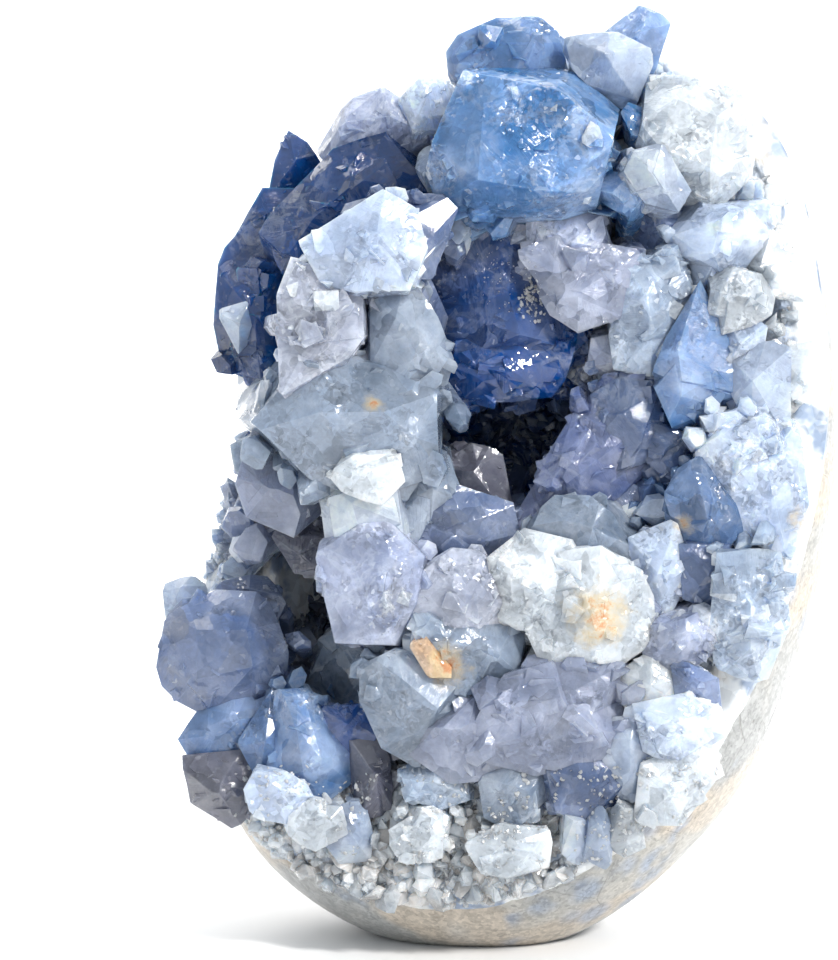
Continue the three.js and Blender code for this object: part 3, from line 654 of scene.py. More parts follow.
def prism_corners(draw, sides, rings, jitter, half, tip):
    """A crystal's corners: rings of a level and two half widths, then a blunt ridge on top."""
    corners = []
    for level, wide, deep in rings:
        for step in range(sides):
            angle = (step + draw.uniform(-0.3, 0.3)) * math.tau / sides
            corners.append(Vector((wide * math.cos(angle), deep * math.sin(angle),
                                   half * (level + draw.uniform(-jitter, jitter)))))
    for side in (1, -1):
        right, back, up = (size * draw.uniform(*between) for size, between in tip)
        corners.append(Vector((side * right, back, up)))
    return corners


def middle_of(crystal):
    rim = crystal.rim
    return sum(x for x, _ in rim) / len(rim), sum(z for _, z in rim) / len(rim)


def crystal_frame(crystal, heart):
    """The widest section, foot and tips of a crystal, and the way it grows."""
    place = middle_of(crystal)
    reach = sum(math.dist(place, corner) for corner in crystal.rim) / len(crystal.rim)
    stand = min(STAND, reach * (0.8 if place[1] > 30 else 0.4))
    out = max(crystal.out, stand - bed_depth(*place))
    spread_by = SPREAD[0] + (SPREAD[1] - SPREAD[0]) * min(reach_of(*place), 1)
    section = [sighted(x, z, out) for x, z in crystal.rim]
    middle = sum(section, Vector()) / len(section)
    section = [middle + (point - middle) * spread_by for point in section]
    foot_depth = cut_depth(middle.x, middle.z) - BED_STAND + ROOT_DEPTH
    inward = Vector(heart) - middle
    inward *= (foot_depth - middle.y) / inward.y
    taper = ROOT_TAPER if reach_of(*place) < RIM_TAPER_FROM else RIM_TAPER
    foot = [middle + (point - middle) * taper + inward for point in section]
    tips = [sighted(x, z, out + rise) for x, z, rise in crystal.crown]
    return section, foot, tips, middle, -inward.normalized()


def grow_main(crystal, heart, draw):
    """The crystal's own body, the low steps on its facets and the crystals beside it."""
    section, foot, tips, middle, axis = crystal_frame(crystal, heart)
    reach = sum((p - middle).length for p in section) / len(section)
    cloud = float(crystal.body == "cloudy")
    blocks = []
    for step in range(1 + (reach > 5) + (reach > 9)):
        bm = new_block()
        if step:
            share = draw.uniform(0.62, 0.85)
            hold = middle + (draw.choice(section) - middle) * draw.uniform(0.4, 0.9)
            turn = Matrix.Rotation(draw.uniform(-0.1, 0.1), 3, axis)
            lift = axis * draw.uniform(-0.5, 1.1)
            send = lambda p: hold + turn @ ((p - hold) * share) + lift
        else:
            send = lambda p: p
        wrap(bm, [send(p) for p in section + foot + tips])
        chip_corners(bm, send(middle), 4 + int(reach / 2), sizes("chip"), draw)
        close_block(bm, draw)
        count = int((10 + reach * reach * 0.55) * (0.45 + 0.55 * cloud))
        blocks += grow_steps(bm, count, reach, axis, crystal, draw)
        blocks.append(weather(bm, 2.2, 0.1, sizes("bevel")))
        mark_crystal(blocks[-1], tint(crystal.hue), cloud, axis)
    for _ in range(4 + int(reach)):
        first = draw.randrange(len(section))
        corner = section[first].lerp(section[first - 1], draw.random())
        by_rim = reach_of(*over(corner)) >= RIM_FROM
        share = draw.uniform(0.4, 0.65) if by_rim else draw.uniform(0.75, 1.0)
        at = middle + (corner - middle) * share - axis * draw.uniform(2, 5)
        width = reach * draw.uniform(0.2, 0.42)
        blocks.append(grow_side(at, width, axis, crystal, draw))
    return blocks


def grow_steps(host, count, reach, axis, crystal, draw):
    """Low blocky steps that grew over a crystal's facets, in line with it."""
    cloudy = crystal.body == "cloudy"
    shown = [face for face in host.faces if face.normal.y < 0.4]
    along = axis.to_track_quat("Z", "Y").to_matrix()
    blocks = []
    for face in draw.choices(shown, weights=[f.calc_area() for f in shown], k=count):
        line = draw.choice(face.edges)
        rim = line.verts[0].co.lerp(line.verts[1].co, draw.random())
        at = face.calc_center_median().lerp(rim, math.sqrt(draw.random()) * 0.85)
        size = min(reach, 10) * draw.choice(STEP_SIZES[crystal.body])
        bm = new_block()
        bmesh.ops.create_cube(bm, size=1)
        bmesh.ops.scale(bm, verts=bm.verts, vec=(
            size, size * draw.uniform(0.5, 1), size * draw.uniform(0.7, 1.7)))
        for _ in range(draw.choice((4, 5, 6, 7))):
            outward = Vector([draw.choice((-1, 1)) * draw.uniform(0.3, 1) for _ in range(3)])
            outward.normalize()
            top = max(v.co.dot(outward) for v in bm.verts)
            slice_off(bm, outward * top * draw.uniform(0.4, 0.85), outward)
        turn = along @ Matrix.Rotation(draw.uniform(-0.6, 0.6), 3, "Z") @ Matrix.Rotation(
            draw.uniform(-0.35, 0.35), 3, draw.choice("XY"))
        bmesh.ops.transform(bm, matrix=turn.to_4x4(), verts=bm.verts)
        top = max(v.co.dot(face.normal) for v in bm.verts)
        proud = draw.uniform(0.08, 0.3 if cloudy else 0.2) * min(size, 3.5)
        if reach_of(*over(at)) > 0.84 and face.normal.y > -0.6:
            proud *= 0.3
        bmesh.ops.translate(bm, vec=at + face.normal * (proud - top), verts=bm.verts)
        close_block(bm, draw)
        own = Vector(tint(crystal.hue)) * draw.uniform(0.85, 1.12)
        if cloudy and draw.random() < 0.2:
            own = own.lerp(Vector(tint("snow")), draw.uniform(0.3, 0.8))
        mark_crystal(bm, own, float(cloudy), axis)
        blocks.append(bm)
    return blocks


def grow_side(at, width, axis, like, draw):
    """A smaller six-sided crystal with a slanting end that leans out beside a large one."""
    lean = (axis + anywhere(draw, 0.3)).normalized()
    half, flat = width * draw.uniform(1.1, 1.6), draw.uniform(0.55, 0.95)
    turn = stood_along(lean, draw)
    rings = ((-1, 0.5 * width, 0.5 * width * flat),
             (draw.uniform(0.3, 0.6), 0.6 * width, 0.6 * width * flat))
    tip = ((width, (0.05, 0.25)), (width, (-0.1, 0.1)), (half, (0.75, 1.0)))
    bm = new_block()
    wrap(bm, [at + turn @ corner for corner in prism_corners(draw, 6, rings, 0.14, half, tip)])
    chip_corners(bm, at - lean * half, 3, width * 0.2, draw)
    close_block(bm, draw)
    bm = weather(bm, 2.0, 0.15, sizes("bevel") * 0.6)
    mark_crystal(bm, tint(like.hue), float(like.body == "cloudy"), lean)
    return bm


def join_blocks(blocks, name):
    """Unites closed blocks into one solid mesh."""
    group = bpy.data.collections.new(name)
    objects = []
    for bm in blocks:
        if shut(bm):
            objects.append(bpy.data.objects.new(name, to_mesh(bm, name)))
        else:
            bm.free()
    first, rest = objects[0], objects[1:]
    bpy.context.scene.collection.objects.link(first)
    for other in rest:
        group.objects.link(other)
    bpy.context.scene.collection.children.link(group)
    union = first.modifiers.new("union", "BOOLEAN")
    union.operation = "UNION"
    union.operand_type = "COLLECTION"
    union.collection = group
    union.solver = "MANIFOLD"
    depsgraph = bpy.context.evaluated_depsgraph_get()
    mesh = bpy.data.meshes.new_from_object(first.evaluated_get(depsgraph))
    for made in objects:
        spare = made.data
        bpy.data.objects.remove(made)
        bpy.data.meshes.remove(spare)
    bpy.data.collections.remove(group)
    return mesh


def finish_cluster(blocks, name):
    """Unites large crystals into a piece, whose cloudy facets take the second finish."""
    mesh = join_blocks(blocks, name)
    settle_piece(mesh, name, ("clear_crystal", "cloudy_crystal"), FACET_ANGLE)
    cloud = [0.0] * len(mesh.polygons)
    mesh.attributes["cloud"].data.foreach_get("value", cloud)
    mesh.polygons.foreach_set("material_index", [round(value) for value in cloud])


# ---------------------------------------------------------------- materials


class Signal:
    """What a node puts out. Arithmetic on it adds the nodes that work it out."""

    def __init__(self, make, socket):
        self.make, self.socket = make, socket

    def __add__(self, other):
        return self.make.maths("ADD", self, other)

    def __sub__(self, other):
        return self.make.maths("SUBTRACT", self, other)

    def __mul__(self, other):
        return self.make.maths("MULTIPLY", self, other)


class Outputs:
    """A node's outputs, by name or number."""

    def __init__(self, make, node):
        self.make, self.node = make, node

    def __getitem__(self, key):
        return Signal(self.make, self.node.outputs[key])


class Graph:
    """A shader tree, and short ways to add the nodes that the finishes need."""

    def __init__(self, tree):
        self.tree = tree

    def fill(self, node, **inputs):
        """Sets a node's inputs, named, or numbered as i0, i1. A signal makes a link."""
        for name, value in inputs.items():
            number = name[1:]
            socket = node.inputs[int(number) if number.isdigit() else name.replace("_", " ")]
            if isinstance(value, Signal):
                self.tree.links.new(value.socket, socket)
            elif socket.type == "RGBA" and len(value) == 3:
                socket.default_value = (*value, 1)
            else:
                socket.default_value = value

    def put(self, kind, settings=None, **inputs):
        """Adds a node and gives its outputs."""
        node = self.tree.nodes.new("ShaderNode" + kind)
        for name, value in (settings or {}).items():
            setattr(node, name, value)
        self.fill(node, **inputs)
        return Outputs(self, node)

    def use(self, name, maker, **inputs):
        """Adds a shared effect, which is made when it is first asked for."""
        group = bpy.data.node_groups.get(name) or maker(name)
        return self.put("Group", {"node_tree": group}, **inputs)

    def place(self):
        """Where a point lies on the stone, which every pattern reads."""
        return self.put("TexCoord")["Object"]

    def read(self, name):
        return self.put("Attribute", {"attribute_name": name})

    def maths(self, operation, a, b=0.0, clamped=False):
        return self.put("Math", {"operation": operation, "use_clamp": clamped}, i0=a, i1=b)[0]

    def vector(self, operation, a, **others):
        return self.put("VectorMath", {"operation": operation}, i0=a, **others)[0]

    def push(self, colour, by):
        """A random colour as a push in a random direction."""
        return self.vector("SCALE", self.vector("SUBTRACT", colour, i1=(0.5, 0.5, 0.5)), Scale=by)

    def blend(self, amount, a, b):
        return self.put("Mix", {"data_type": "RGBA"}, i0=amount, i6=a, i7=b)[2]

    def layer(self, base, *coats):
        """Lays colours over a base, each by its own amount."""
        for amount, coat in coats:
            base = self.blend(amount, base, coat)
        return base

    def spread(self, value, low, high, to_low=0.0, to_high=1.0):
        """Goes smoothly from one level to another as a value goes from low to high."""
        return self.put("MapRange", {"interpolation_type": "SMOOTHSTEP"}, i0=value, i1=low,
                        i2=high, i3=to_low, i4=to_high)[0]

    def fade(self, value, low, high):
        """1 where a value is low and 0 where it is high."""
        return self.spread(value, low, high, 1.0, 0.0)

    def speckle(self, where, scale, detail=3.0, rough=0.55, distortion=0.0, out="Fac"):
        return self.put("TexNoise", Vector=where, Scale=scale, Detail=detail, Roughness=rough,
                        Distortion=distortion)[out]

    def cells(self, where, scale, feature="F1"):
        return self.put("TexVoronoi", {"feature": feature}, Vector=where, Scale=scale)

    def split(self, colour):
        return self.put("SeparateColor", i0=colour)

    def retone(self, colour, value, saturation=1.0):
        return self.put("HueSaturation", Saturation=saturation, Value=value, Color=colour)[0]

    def bump(self, height, strength, distance, **under):
        return self.put("Bump", Strength=strength, Distance=distance, Height=height, **under)[0]


def new_group(name, inputs, outputs):
    """A shared effect's graph, what it is given, and the node that takes what it puts out."""
    tree = bpy.data.node_groups.new(name, "ShaderNodeTree")
    for way, sockets in (("INPUT", inputs), ("OUTPUT", outputs)):
        for label, kind in sockets.items():
            tree.interface.new_socket(name=label, in_out=way, socket_type="NodeSocket" + kind)
    make = Graph(tree)
    return make, Outputs(make, tree.nodes.new("NodeGroupInput")), tree.nodes.new("NodeGroupOutput")


def veil_group(name):
    """Milky veils inside a crystal."""
    make, given, out = new_group(name, {"Place": "Vector"}, {"Veil": "Float"})
    cloud = make.speckle(given["Place"], 170.0, 5.0, 0.65, 0.8)
    wisps = make.fade(make.maths("ABSOLUTE", cloud - 0.5), 0.0, 0.08)
    patch = make.spread(make.speckle(given["Place"], 60.0, 2.0), 0.42, 0.66)
    make.fill(out, Veil=wisps * patch)
    return make.tree


def frost_group(name):
    """Where a white dusting sits, in patches."""
    make, given, out = new_group(name, {"Place": "Vector", "Amount": "Float"},
                                 {"Mask": "Float", "Grit": "Float"})
    place = given["Place"]
    patch = make.speckle(place, 130.0, 6.0, 0.65) + given["Amount"] * 0.35
    grit = make.cells(place, 1500.0)["Distance"] + make.speckle(place, 2600.0, 2.0)
    make.fill(out, Mask=make.spread(patch, 0.66, 0.8), Grit=grit)
    return make.tree


def striation_group(name):
    """Fine growth lines that follow the crystal, different on every facet."""
    make, given, out = new_group(name, {"Grain": "Vector", "Facet": "Float", "Scale": "Float"},
                                 {"Height": "Float", "Strength": "Float"})
    parts = make.put("SeparateXYZ", i0=given["Grain"])
    stretched = make.put("CombineXYZ", i0=parts[0] * 0.12, i1=parts[1],
                         i2=given["Facet"] * 40.0)[0]
    make.fill(out, Height=make.speckle(stretched, given["Scale"], 4.0, 0.6),
              Strength=make.spread(given["Facet"], 0.35, 0.75))
    return make.tree


def mosaic_and_glint_group(name):
    """Small facets of etching all over a crystal: each has its own tone and leans its own way, and
    a few carry a painted glint.
    """
    make, given, out = new_group(name, {"Place": "Vector", "Normal": "Vector", "Spread": "Float"},
                                 {"Tone": "Float", "Normal": "Vector", "Glint": "Float"})
    place = given["Place"]
    bend = make.speckle(place, 500.0, 1.0, 0.5, out="Color")
    bent = make.vector("ADD", place, i1=make.vector("SCALE", bend, Scale=0.0016))
    broad, coarse, fine = (make.cells(bent, scale)["Color"] for scale in (240.0, 760.0, 2000.0))
    mask = make.spread(make.speckle(place, 130.0, 3.0, 0.6) + given["Spread"],
                       0.44, 0.6, 0.22, 1.0)
    both = make.blend(0.55, coarse, fine)
    turned = make.vector("ADD", given["Normal"], i1=make.push(both, mask * 0.85))
    turned = make.vector("ADD", turned, i1=make.push(broad, 0.55))
    small_tone = (make.split(both)[0] - 0.5) * mask
    wide_tone = (make.split(broad)[0] - 0.5) * 0.3
    # The glint output marks a few fine cells to be painted as pale glints: painted highlights,
    # laid into the crystal's colour.
    make.fill(out, Tone=small_tone + wide_tone, Normal=make.vector("NORMALIZE", turned),
              Glint=make.spread(make.split(fine)[1], 0.965, 0.98) * mask)
    return make.tree


def rust_group(name):
    """Iron stains: an orange heart with a yellow halo."""
    make, given, out = new_group(name, {"Place": "Vector"}, {"Heart": "Float", "Halo": "Float"})
    ragged = make.speckle(given["Place"], 420.0, 4.0, 0.7)
    heart = halo = 0.0
    for x, z, stands, wide in STAINS:
        away = make.put("VectorMath", {"operation": "DISTANCE"}, i0=given["Place"],
                        i1=sighted(x, z, stands) * MM)["Value"]
        away = away * (1 / (wide * MM)) + (ragged - 0.5) * 2.2
        heart = make.maths("MAXIMUM", heart, make.fade(away, 0.05, 0.5))
        halo = make.maths("MAXIMUM", halo, make.fade(away, 0.2, 1.3))
    make.fill(out, Heart=heart, Halo=halo)
    return make.tree


def new_material(name):
    """A bare material, its graph, its shader and its output node."""
    material = bpy.data.materials.new(name)
    material.use_nodes = True
    tree = material.node_tree
    tree.nodes.clear()
    output = tree.nodes.new("ShaderNodeOutputMaterial")
    shader = tree.nodes.new("ShaderNodeBsdfPrincipled")
    tree.links.new(shader.outputs[0], output.inputs["Surface"])
    return material, Graph(tree), shader, output


def crystal_material(name):
    """Celestite: tinted, see-through to a degree, with veils, frost, etching and painted glints on
    its facets.
    """
    look = CRYSTAL_FINISHES[name]
    material, make, shader, output = new_material(name)
    place = make.place()
    hue, facet = make.read("tint")["Vector"], make.read("facet")["Fac"]
    veil = make.use("Milky veils", veil_group, Place=place)["Veil"]
    dust = make.use("Frost", frost_group, Place=place, Amount=look["frost"])
    lines = make.use("Growth lines", striation_group, Facet=facet, Scale=26.0,
                     Grain=make.put("UVMap", {"uv_map": "grain"})[0])
    etch_and_glint = make.use("Etched mosaic", mosaic_and_glint_group, Place=place, Spread=look["etched"],
                    Normal=make.put("NewGeometry")["Normal"])
    stain = make.use("Iron stain", rust_group, Place=place)

    zone = make.split(make.speckle(place, 75.0, 3.0, 0.5, out="Color"))
    body = make.layer(hue,
                      (make.spread(zone[0], 0.46, 0.64, 0.0, 0.8), make.retone(hue, 0.7, 1.3)),
                      (make.spread(zone[1], 0.5, 0.66, 0.0, 0.7), make.retone(hue, 1.5, 0.72)))
    level = make.spread(facet, 0.0, 1.0, 0.88, 1.1) + etch_and_glint["Tone"] * 0.75
    level += make.spread(make.speckle(place, 420.0, 3.0, 0.7), 0.25, 0.75, -0.1, 0.1)
    # The pale flecks laid in from the mosaic's glints are painted highlights; veils, frost and
    # iron stains are the crystal's own.
    tinted = make.layer(make.retone(body, level, 1.15),
                        (veil * look["milk"], (0.78, 0.84, 0.92)),
                        (etch_and_glint["Glint"] * 0.4, (0.86, 0.91, 0.97)),
                        (dust["Mask"], (0.84, 0.86, 0.88)),
                        (stain["Halo"] * 0.75, (0.78, 0.62, 0.36)),
                        (stain["Heart"] * 0.85, tint("rust")))
    rough = make.maths("ADD", dust["Mask"] * 0.5 + look["rough"], lines["Strength"] * 0.06, True)
    rolling = lines["Height"] * lines["Strength"] + make.speckle(place, 260.0, 2.0)
    relief = make.bump(rolling, 0.4, 0.0006, Normal=etch_and_glint["Normal"])
    crust = make.bump(dust["Grit"] * dust["Mask"], 0.6, 0.0003, Normal=relief)
    make.fill(shader, Base_Color=tinted, Roughness=rough, Normal=crust, IOR=1.62,
              Coat_Weight=0.3, Coat_Roughness=0.06, Transmission_Weight=look["see_through"],
              Subsurface_Weight=look["glow"], Subsurface_Radius=(0.8, 0.9, 1.0),
              Subsurface_Scale=0.003)
    if "absorb" in look:
        inside, density = look["absorb"]
        make.fill(output, Volume=make.put("VolumeAbsorption", Color=inside, Density=density)[0])
    return material


def stone_material(name):
    """The polished rind: mottled, with cream streaks, buried crystal, pits and hair cracks."""
    material, make, shader, _ = new_material(name)
    place = make.place()
    wide = make.speckle(place, 38.0, 4.0, 0.6, 0.6)
    streak = make.put("TexWave", {"bands_direction": "Z"}, Vector=place, Scale=16.0,
                      Distortion=9.0, Detail=3.0, Detail_Scale=1.6)["Fac"]
    shard = make.fade(make.cells(place, 130.0)["Distance"], 0.2, 0.55)
    here = make.spread(make.speckle(place, 70.0), 0.5, 0.6)
    base = make.layer(tint("grey"), (make.spread(wide, 0.38, 0.6), tint("pale")),
                      (make.spread(streak, 0.3, 0.9, 0.0, 0.75), tint("cream")),
                      (shard * (here * 0.7), tint("glass")))
    salt = make.split(make.cells(place, 1700.0)["Color"])[0]
    clump = make.speckle(place, 330.0, 6.0, 0.8)
    level = make.spread(salt, 0.0, 1.0, 0.8, 1.12) + make.spread(clump, 0.3, 0.7, -0.2, 0.18)
    edges = make.cells(place, 75.0, "DISTANCE_TO_EDGE")["Distance"]
    crack = make.fade(edges, 0.0, 0.008) * make.spread(make.speckle(place, 50.0), 0.5, 0.58)
    pits = make.cells(place, 420.0)["Distance"]
    pit = make.fade(pits, 0.0, 0.22) * make.spread(make.speckle(place, 120.0), 0.52, 0.6)
    base = make.layer(make.retone(base, level), (crack * 0.3, (0.3, 0.27, 0.25)),
                      (pit * 0.55, (0.35, 0.33, 0.32)))
    make.fill(shader, Base_Color=base, Coat_Weight=0.15, Coat_Roughness=0.2,
              Roughness=make.spread(wide, 0.3, 0.7, 0.26, 0.42) + pit * 0.4,
              Normal=make.bump((pit + crack * 0.4) * -1.0, 0.7, 0.0004))
    return material


def bed_material(name):
    """The granular bed that the crystals grow from, ground smooth at its rim."""
    material, make, shader, _ = new_material(name)
    place = make.place()
    smooth = make.read("polish")["Fac"]
    rugged = make.maths("SUBTRACT", 1.0, smooth)
    wide = make.speckle(place, 75.0, 4.0, 0.65)
    patch = make.split(make.speckle(place, 120.0, 5.0, 0.7, out="Color"))
    low = make.fade(make.put("SeparateXYZ", i0=place)[2], 0.028, 0.04)
    dust = make.use("Frost", frost_group, Place=place, Amount=0.4)
    base = make.layer((0.3, 0.38, 0.52), (make.spread(wide, 0.36, 0.62), (0.6, 0.66, 0.74)),
                      (make.spread(patch[0], 0.5, 0.62, 0.0, 0.5) * low, tint("cream")),
                      (make.spread(patch[1], 0.48, 0.6, 0.0, 0.9) * low, (0.8, 0.83, 0.86)),
                      (dust["Mask"], (0.76, 0.78, 0.8)))
    vein = make.spread(make.speckle(place, 160.0, 3.0), 0.5, 0.7, 0.0, 0.6)
    ground = make.layer(tint("glass"), (make.spread(wide, 0.4, 0.52), (0.82, 0.84, 0.84)),
                        (vein, tint("cream")))
    grains = make.cells(place, 700.0)
    tone = make.spread(make.split(grains["Color"])[0], 0.0, 1.0, 0.84, 1.1)
    coarse = make.bump(grains["Distance"] * rugged, 0.7, 0.0006)
    make.fill(shader, Base_Color=make.retone(make.blend(smooth, base, ground), tone),
              Roughness=rugged * 0.25 + 0.28,
              Normal=make.bump(dust["Grit"] * rugged, 0.5, 0.0003, Normal=coarse))
    return material


def paper_material(name):
    """The floor's matt paper."""
    material, make, shader, _ = new_material(name)
    tone = make.spread(make.speckle(make.place(), 3.0), 0.3, 0.7, 0.0, 0.04)
    make.fill(shader, Base_Color=make.blend(tone, (0.9, 0.9, 0.9), (0.7, 0.7, 0.7)),
              Roughness=0.7)
    return material


def finish_of(name):
    """A material, which is made when a piece first asks for it."""
    makers = {"polished_rind": stone_material, "granular_bed": bed_material,
              "pale_paper": paper_material}
    return bpy.data.materials.get(name) or makers.get(name, crystal_material)(name)


# ---------------------------------------------------------------- the pieces


def ball(around, along):
    """A ball with its poles to the back and the front, its faces in the same order each time."""
    bm = bmesh.new()
    bmesh.ops.create_uvsphere(bm, u_segments=around, v_segments=along, radius=1)
    bmesh.ops.rotate(bm, cent=(0, 0, 0), matrix=Matrix.Rotation(math.radians(-90), 3, "X"),
                     verts=bm.verts)
    bm.verts.index_update()
    count = len(bm.verts)

    def place(face):
        first, second, third = sorted(vert.index for vert in face.verts)[:3]
        return (first * count + second) * count + third

    bm.faces.sort(key=place)
    return bm


def bearings(co):
    """The tilt and the angle at which a point of the ball lies."""
    return math.acos(max(-1, min(1, co.y))), round(math.atan2(co.z, co.x), 4)


class GEODE_OT_rind(bpy.types.Operator):
    """Turns the polished rock shell and lays its flat foot"""
    bl_idname = "geode.rind"
    bl_label = "Polished rind"

    def execute(self, context):
        along = 56
        bm = ball(160, along)
        front = [v for v in bm.verts if v.co.y < -0.999]
        bmesh.ops.delete(bm, geom=front, context="VERTS")
        for vert in bm.verts:
            tilt, angle = bearings(vert.co)
            share = tilt / (math.pi * (1 - 1 / along))
            point = egg_point(angle, share * tilt_at_cut(angle))
            if share > 0.97:
                point.y += 0.2 + 0.3 * noise.noise(point * 0.6)
            point.z = max(point.z, 0)
            vert.co = point
        bmesh.ops.solidify(bm, geom=bm.faces[:], thickness=sizes("rind"))
        bmesh.ops.recalc_face_normals(bm, faces=bm.faces)
        piece = settle_piece(to_mesh(bm, "rind"), "rind", ["polished_rind"], 60)
        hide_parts("rock_shell")
        return {"FINISHED"}


def band_width(angle):
    """How wide the polish reaches over the cut's rim: widest at the right."""
    share = clamp((math.cos(angle - 0.1) - 0.3) / 0.4)
    return 6.6 * share * share * (3 - 2 * share)


def polish_at(x, z):
    """1 on the polished band round the cut, 0 on the rough bed inside it."""
    right, up = x - EGG_CENTRE_X, z - EGG_CENTRE_Z
    angle = round(math.atan2(up, right), 2)
    rim = egg_point(angle, tilt_at_cut(angle))
    from_rim = math.dist((rim.x, rim.z), (EGG_CENTRE_X, EGG_CENTRE_Z)) - math.hypot(right, up)
    ragged = 1 + 0.5 * noise.noise(Vector((x, 3, z)) * 0.25)
    return clamp((band_width(angle) * ragged - from_rim) / 0.8)


class GEODE_OT_bed(bpy.types.Operator):
    """Lays the granular bed that fills the shell and holds the crystals"""
    bl_idname = "geode.bed"
    bl_label = "Crust bed"

    def execute(self, context):
        bm = ball(440, 200)
        polish = bm.verts.layers.float.new("polish")
        seam = sizes("rind") + 0.3
        for vert in bm.verts:
            tilt, angle = bearings(vert.co)
            share = tilt / math.pi
            vert[polish] = 1
            inner = tilt_at_cut(angle, seam, -5)
            lip = tilt_at_cut(angle, 0, -5)
            front = tilt_at_cut(angle)
            if share < 0.2:
                point = egg_point(angle, inner * share / 0.2, seam)
            elif share < 0.24:
                part = (share - 0.2) / 0.04
                point = egg_point(angle, inner, seam).lerp(egg_point(angle, lip, 0.65), part)
            elif share < 0.28:
                part = (share - 0.24) / 0.04
                point = egg_point(angle, lip + (front - lip) * part, 0.65 - 0.7 * part)
            else:
                rim = egg_point(angle, front, -0.05)
                part = (1 - share) / 0.72
                x = EGG_CENTRE_X + (rim.x - EGG_CENTRE_X) * part
                z = EGG_CENTRE_Z + (rim.z - EGG_CENTRE_Z) * part
                from_rim = math.dist((rim.x, rim.z), (x, z))
                slope = min(from_rim / (band_width(angle) + 4), 1) * math.pi / 2
                sunk = BED_STAND * (1 - math.sin(slope))
                grain = Vector((x, 0, z))
                rough = 1.2 * noise.noise(grain * 0.3) + 0.9 * noise.voronoi(grain * 0.62)[0][0]
                rough += 0.5 * noise.voronoi(grain * 1.3)[0][0]
                vert[polish] = smooth = polish_at(x, z)
                rough *= min(1, from_rim / 3) * (1 - smooth)
                point = Vector((x, bed_depth(x, z) + sunk + rough, z))
            vert.co = point
        bmesh.ops.recalc_face_normals(bm, faces=bm.faces)
        mesh = to_mesh(bm, "crust_bed")
        piece = settle_piece(mesh, "crust_bed", ["granular_bed"], 70)
        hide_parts("crystal_crust")
        return {"FINISHED"}


class GEODE_OT_clusters(bpy.types.Operator):
    """Grows each cluster of large crystals as one joined body"""
    bl_idname = "geode.clusters"
    bl_label = "Large crystals"

    def execute(self, context):
        for seed, (name, heart, rows) in enumerate(CLUSTERS, CLUSTER_SEED):
            draw = random.Random(seed)
            blocks = []
            for row in rows:
                blocks += grow_main(Crystal(*row), heart, draw)
            finish_cluster(blocks, name)
        return {"FINISHED"}


def inside(x, z, corners):
    """Whether a point lies within the outline that the corners give."""
    within = False
    for (ax, az), (bx, bz) in zip(corners, corners[1:] + corners[:1]):
        if (az > z) != (bz > z) and x < (bx - ax) * (z - az) / (bz - az) + ax:
            within = not within
    return within


def covered(x, z):
    """Whether a large crystal is seen over this place."""
    return any(inside(x, z, crystal.rim) for crystal in LARGE)


def in_hollow(x, z):
    return any(((x - at[0]) / half[0]) ** 2 + ((z - at[2]) / half[2]) ** 2 < 0.8
               for at, half in HOLLOWS)


def nearby(x, z, count=3):
    """The large crystals nearest to a place, with how much each counts there."""
    near = sorted((math.dist((x, z), middle_of(crystal)), crystal) for crystal in LARGE)[:count]
    return [(crystal, 1 / (2 + away)) for away, crystal in near]


def local_tint(x, z, draw):
    """A small crystal's colour: like its neighbours', frosted whiter towards the rim and the
    bottom, whitened by painted light towards the right, and darker in the hollows by its own tone
    and by painted shade.
    """
    near = nearby(x, z)
    whole = sum(weight for _, weight in near)
    hue = sum((Vector(tint(crystal.hue)) * weight for crystal, weight in near), Vector()) / whole
    low = clamp((34 - z) / 12)
    # Towards the right the crystals are whitened as painted light, for the side that the sun
    # washes out; low down and by the rim the whitening is frost.
    right = clamp((x - 30) / 14)
    white = max(low, right, max(0, reach_of(x, z) - 0.86) * 3) * draw.uniform(0.75, 1.1)
    # In the hollows the crystals darken towards smoke or navy: partly their own darker tone,
    # partly painted shade of the recess.
    if in_hollow(x, z):
        hollow_tone_and_shade = Vector(tint("smoke" if x < -10 else "navy"))
        hue, white = hue.lerp(hollow_tone_and_shade * 0.75, draw.uniform(0.5, 1)), 0
    pale = Vector(tint("snow"))
    if low and draw.random() < 0.4:
        pale = pale.lerp(Vector(tint("cream")), 0.5) * 1.1
    return tuple(hue.lerp(pale, min(white, 1)) * draw.uniform(0.86, 1.1))


def small_crystals(draw):
    """Nine blunt-ended crystals, about a millimetre wide, that the druse repeats."""
    kinds = []
    for _ in range(9):
        wide, deep = draw.uniform(0.75, 1.15), draw.uniform(0.5, 0.85)
        rings = ((-0.7, 0.8 * wide / 2, 0.8 * deep / 2), (0.35, wide / 2, deep / 2))
        tip = ((wide, (0.05, 0.2)), (1, (-0.08, 0.08)), (1, (0.6, 0.9)))
        bm = new_block()
        wrap(bm, prism_corners(draw, 5, rings, 0.12, 1, tip))
        clean_block(bm)
        number_facets(bm, draw)
        kinds.append(bm)
    return kinds


def plant(kinds, at, toward, size, hue, cloud, draw):
    """One copy of a small crystal, rooted at a place and growing towards a direction."""
    bm = draw.choice(kinds).copy()
    turn = stood_along(toward, draw)
    grow = Matrix.Diagonal((size * draw.uniform(0.8, 1.2), size, size * draw.uniform(0.8, 1.3)))
    bmesh.ops.transform(
        bm, matrix=Matrix.Translation(at - toward * size * 0.1) @ (turn @ grow).to_4x4(),
        verts=bm.verts)
    bm.normal_update()
    mark_crystal(bm, hue, cloud, toward)
    return bm


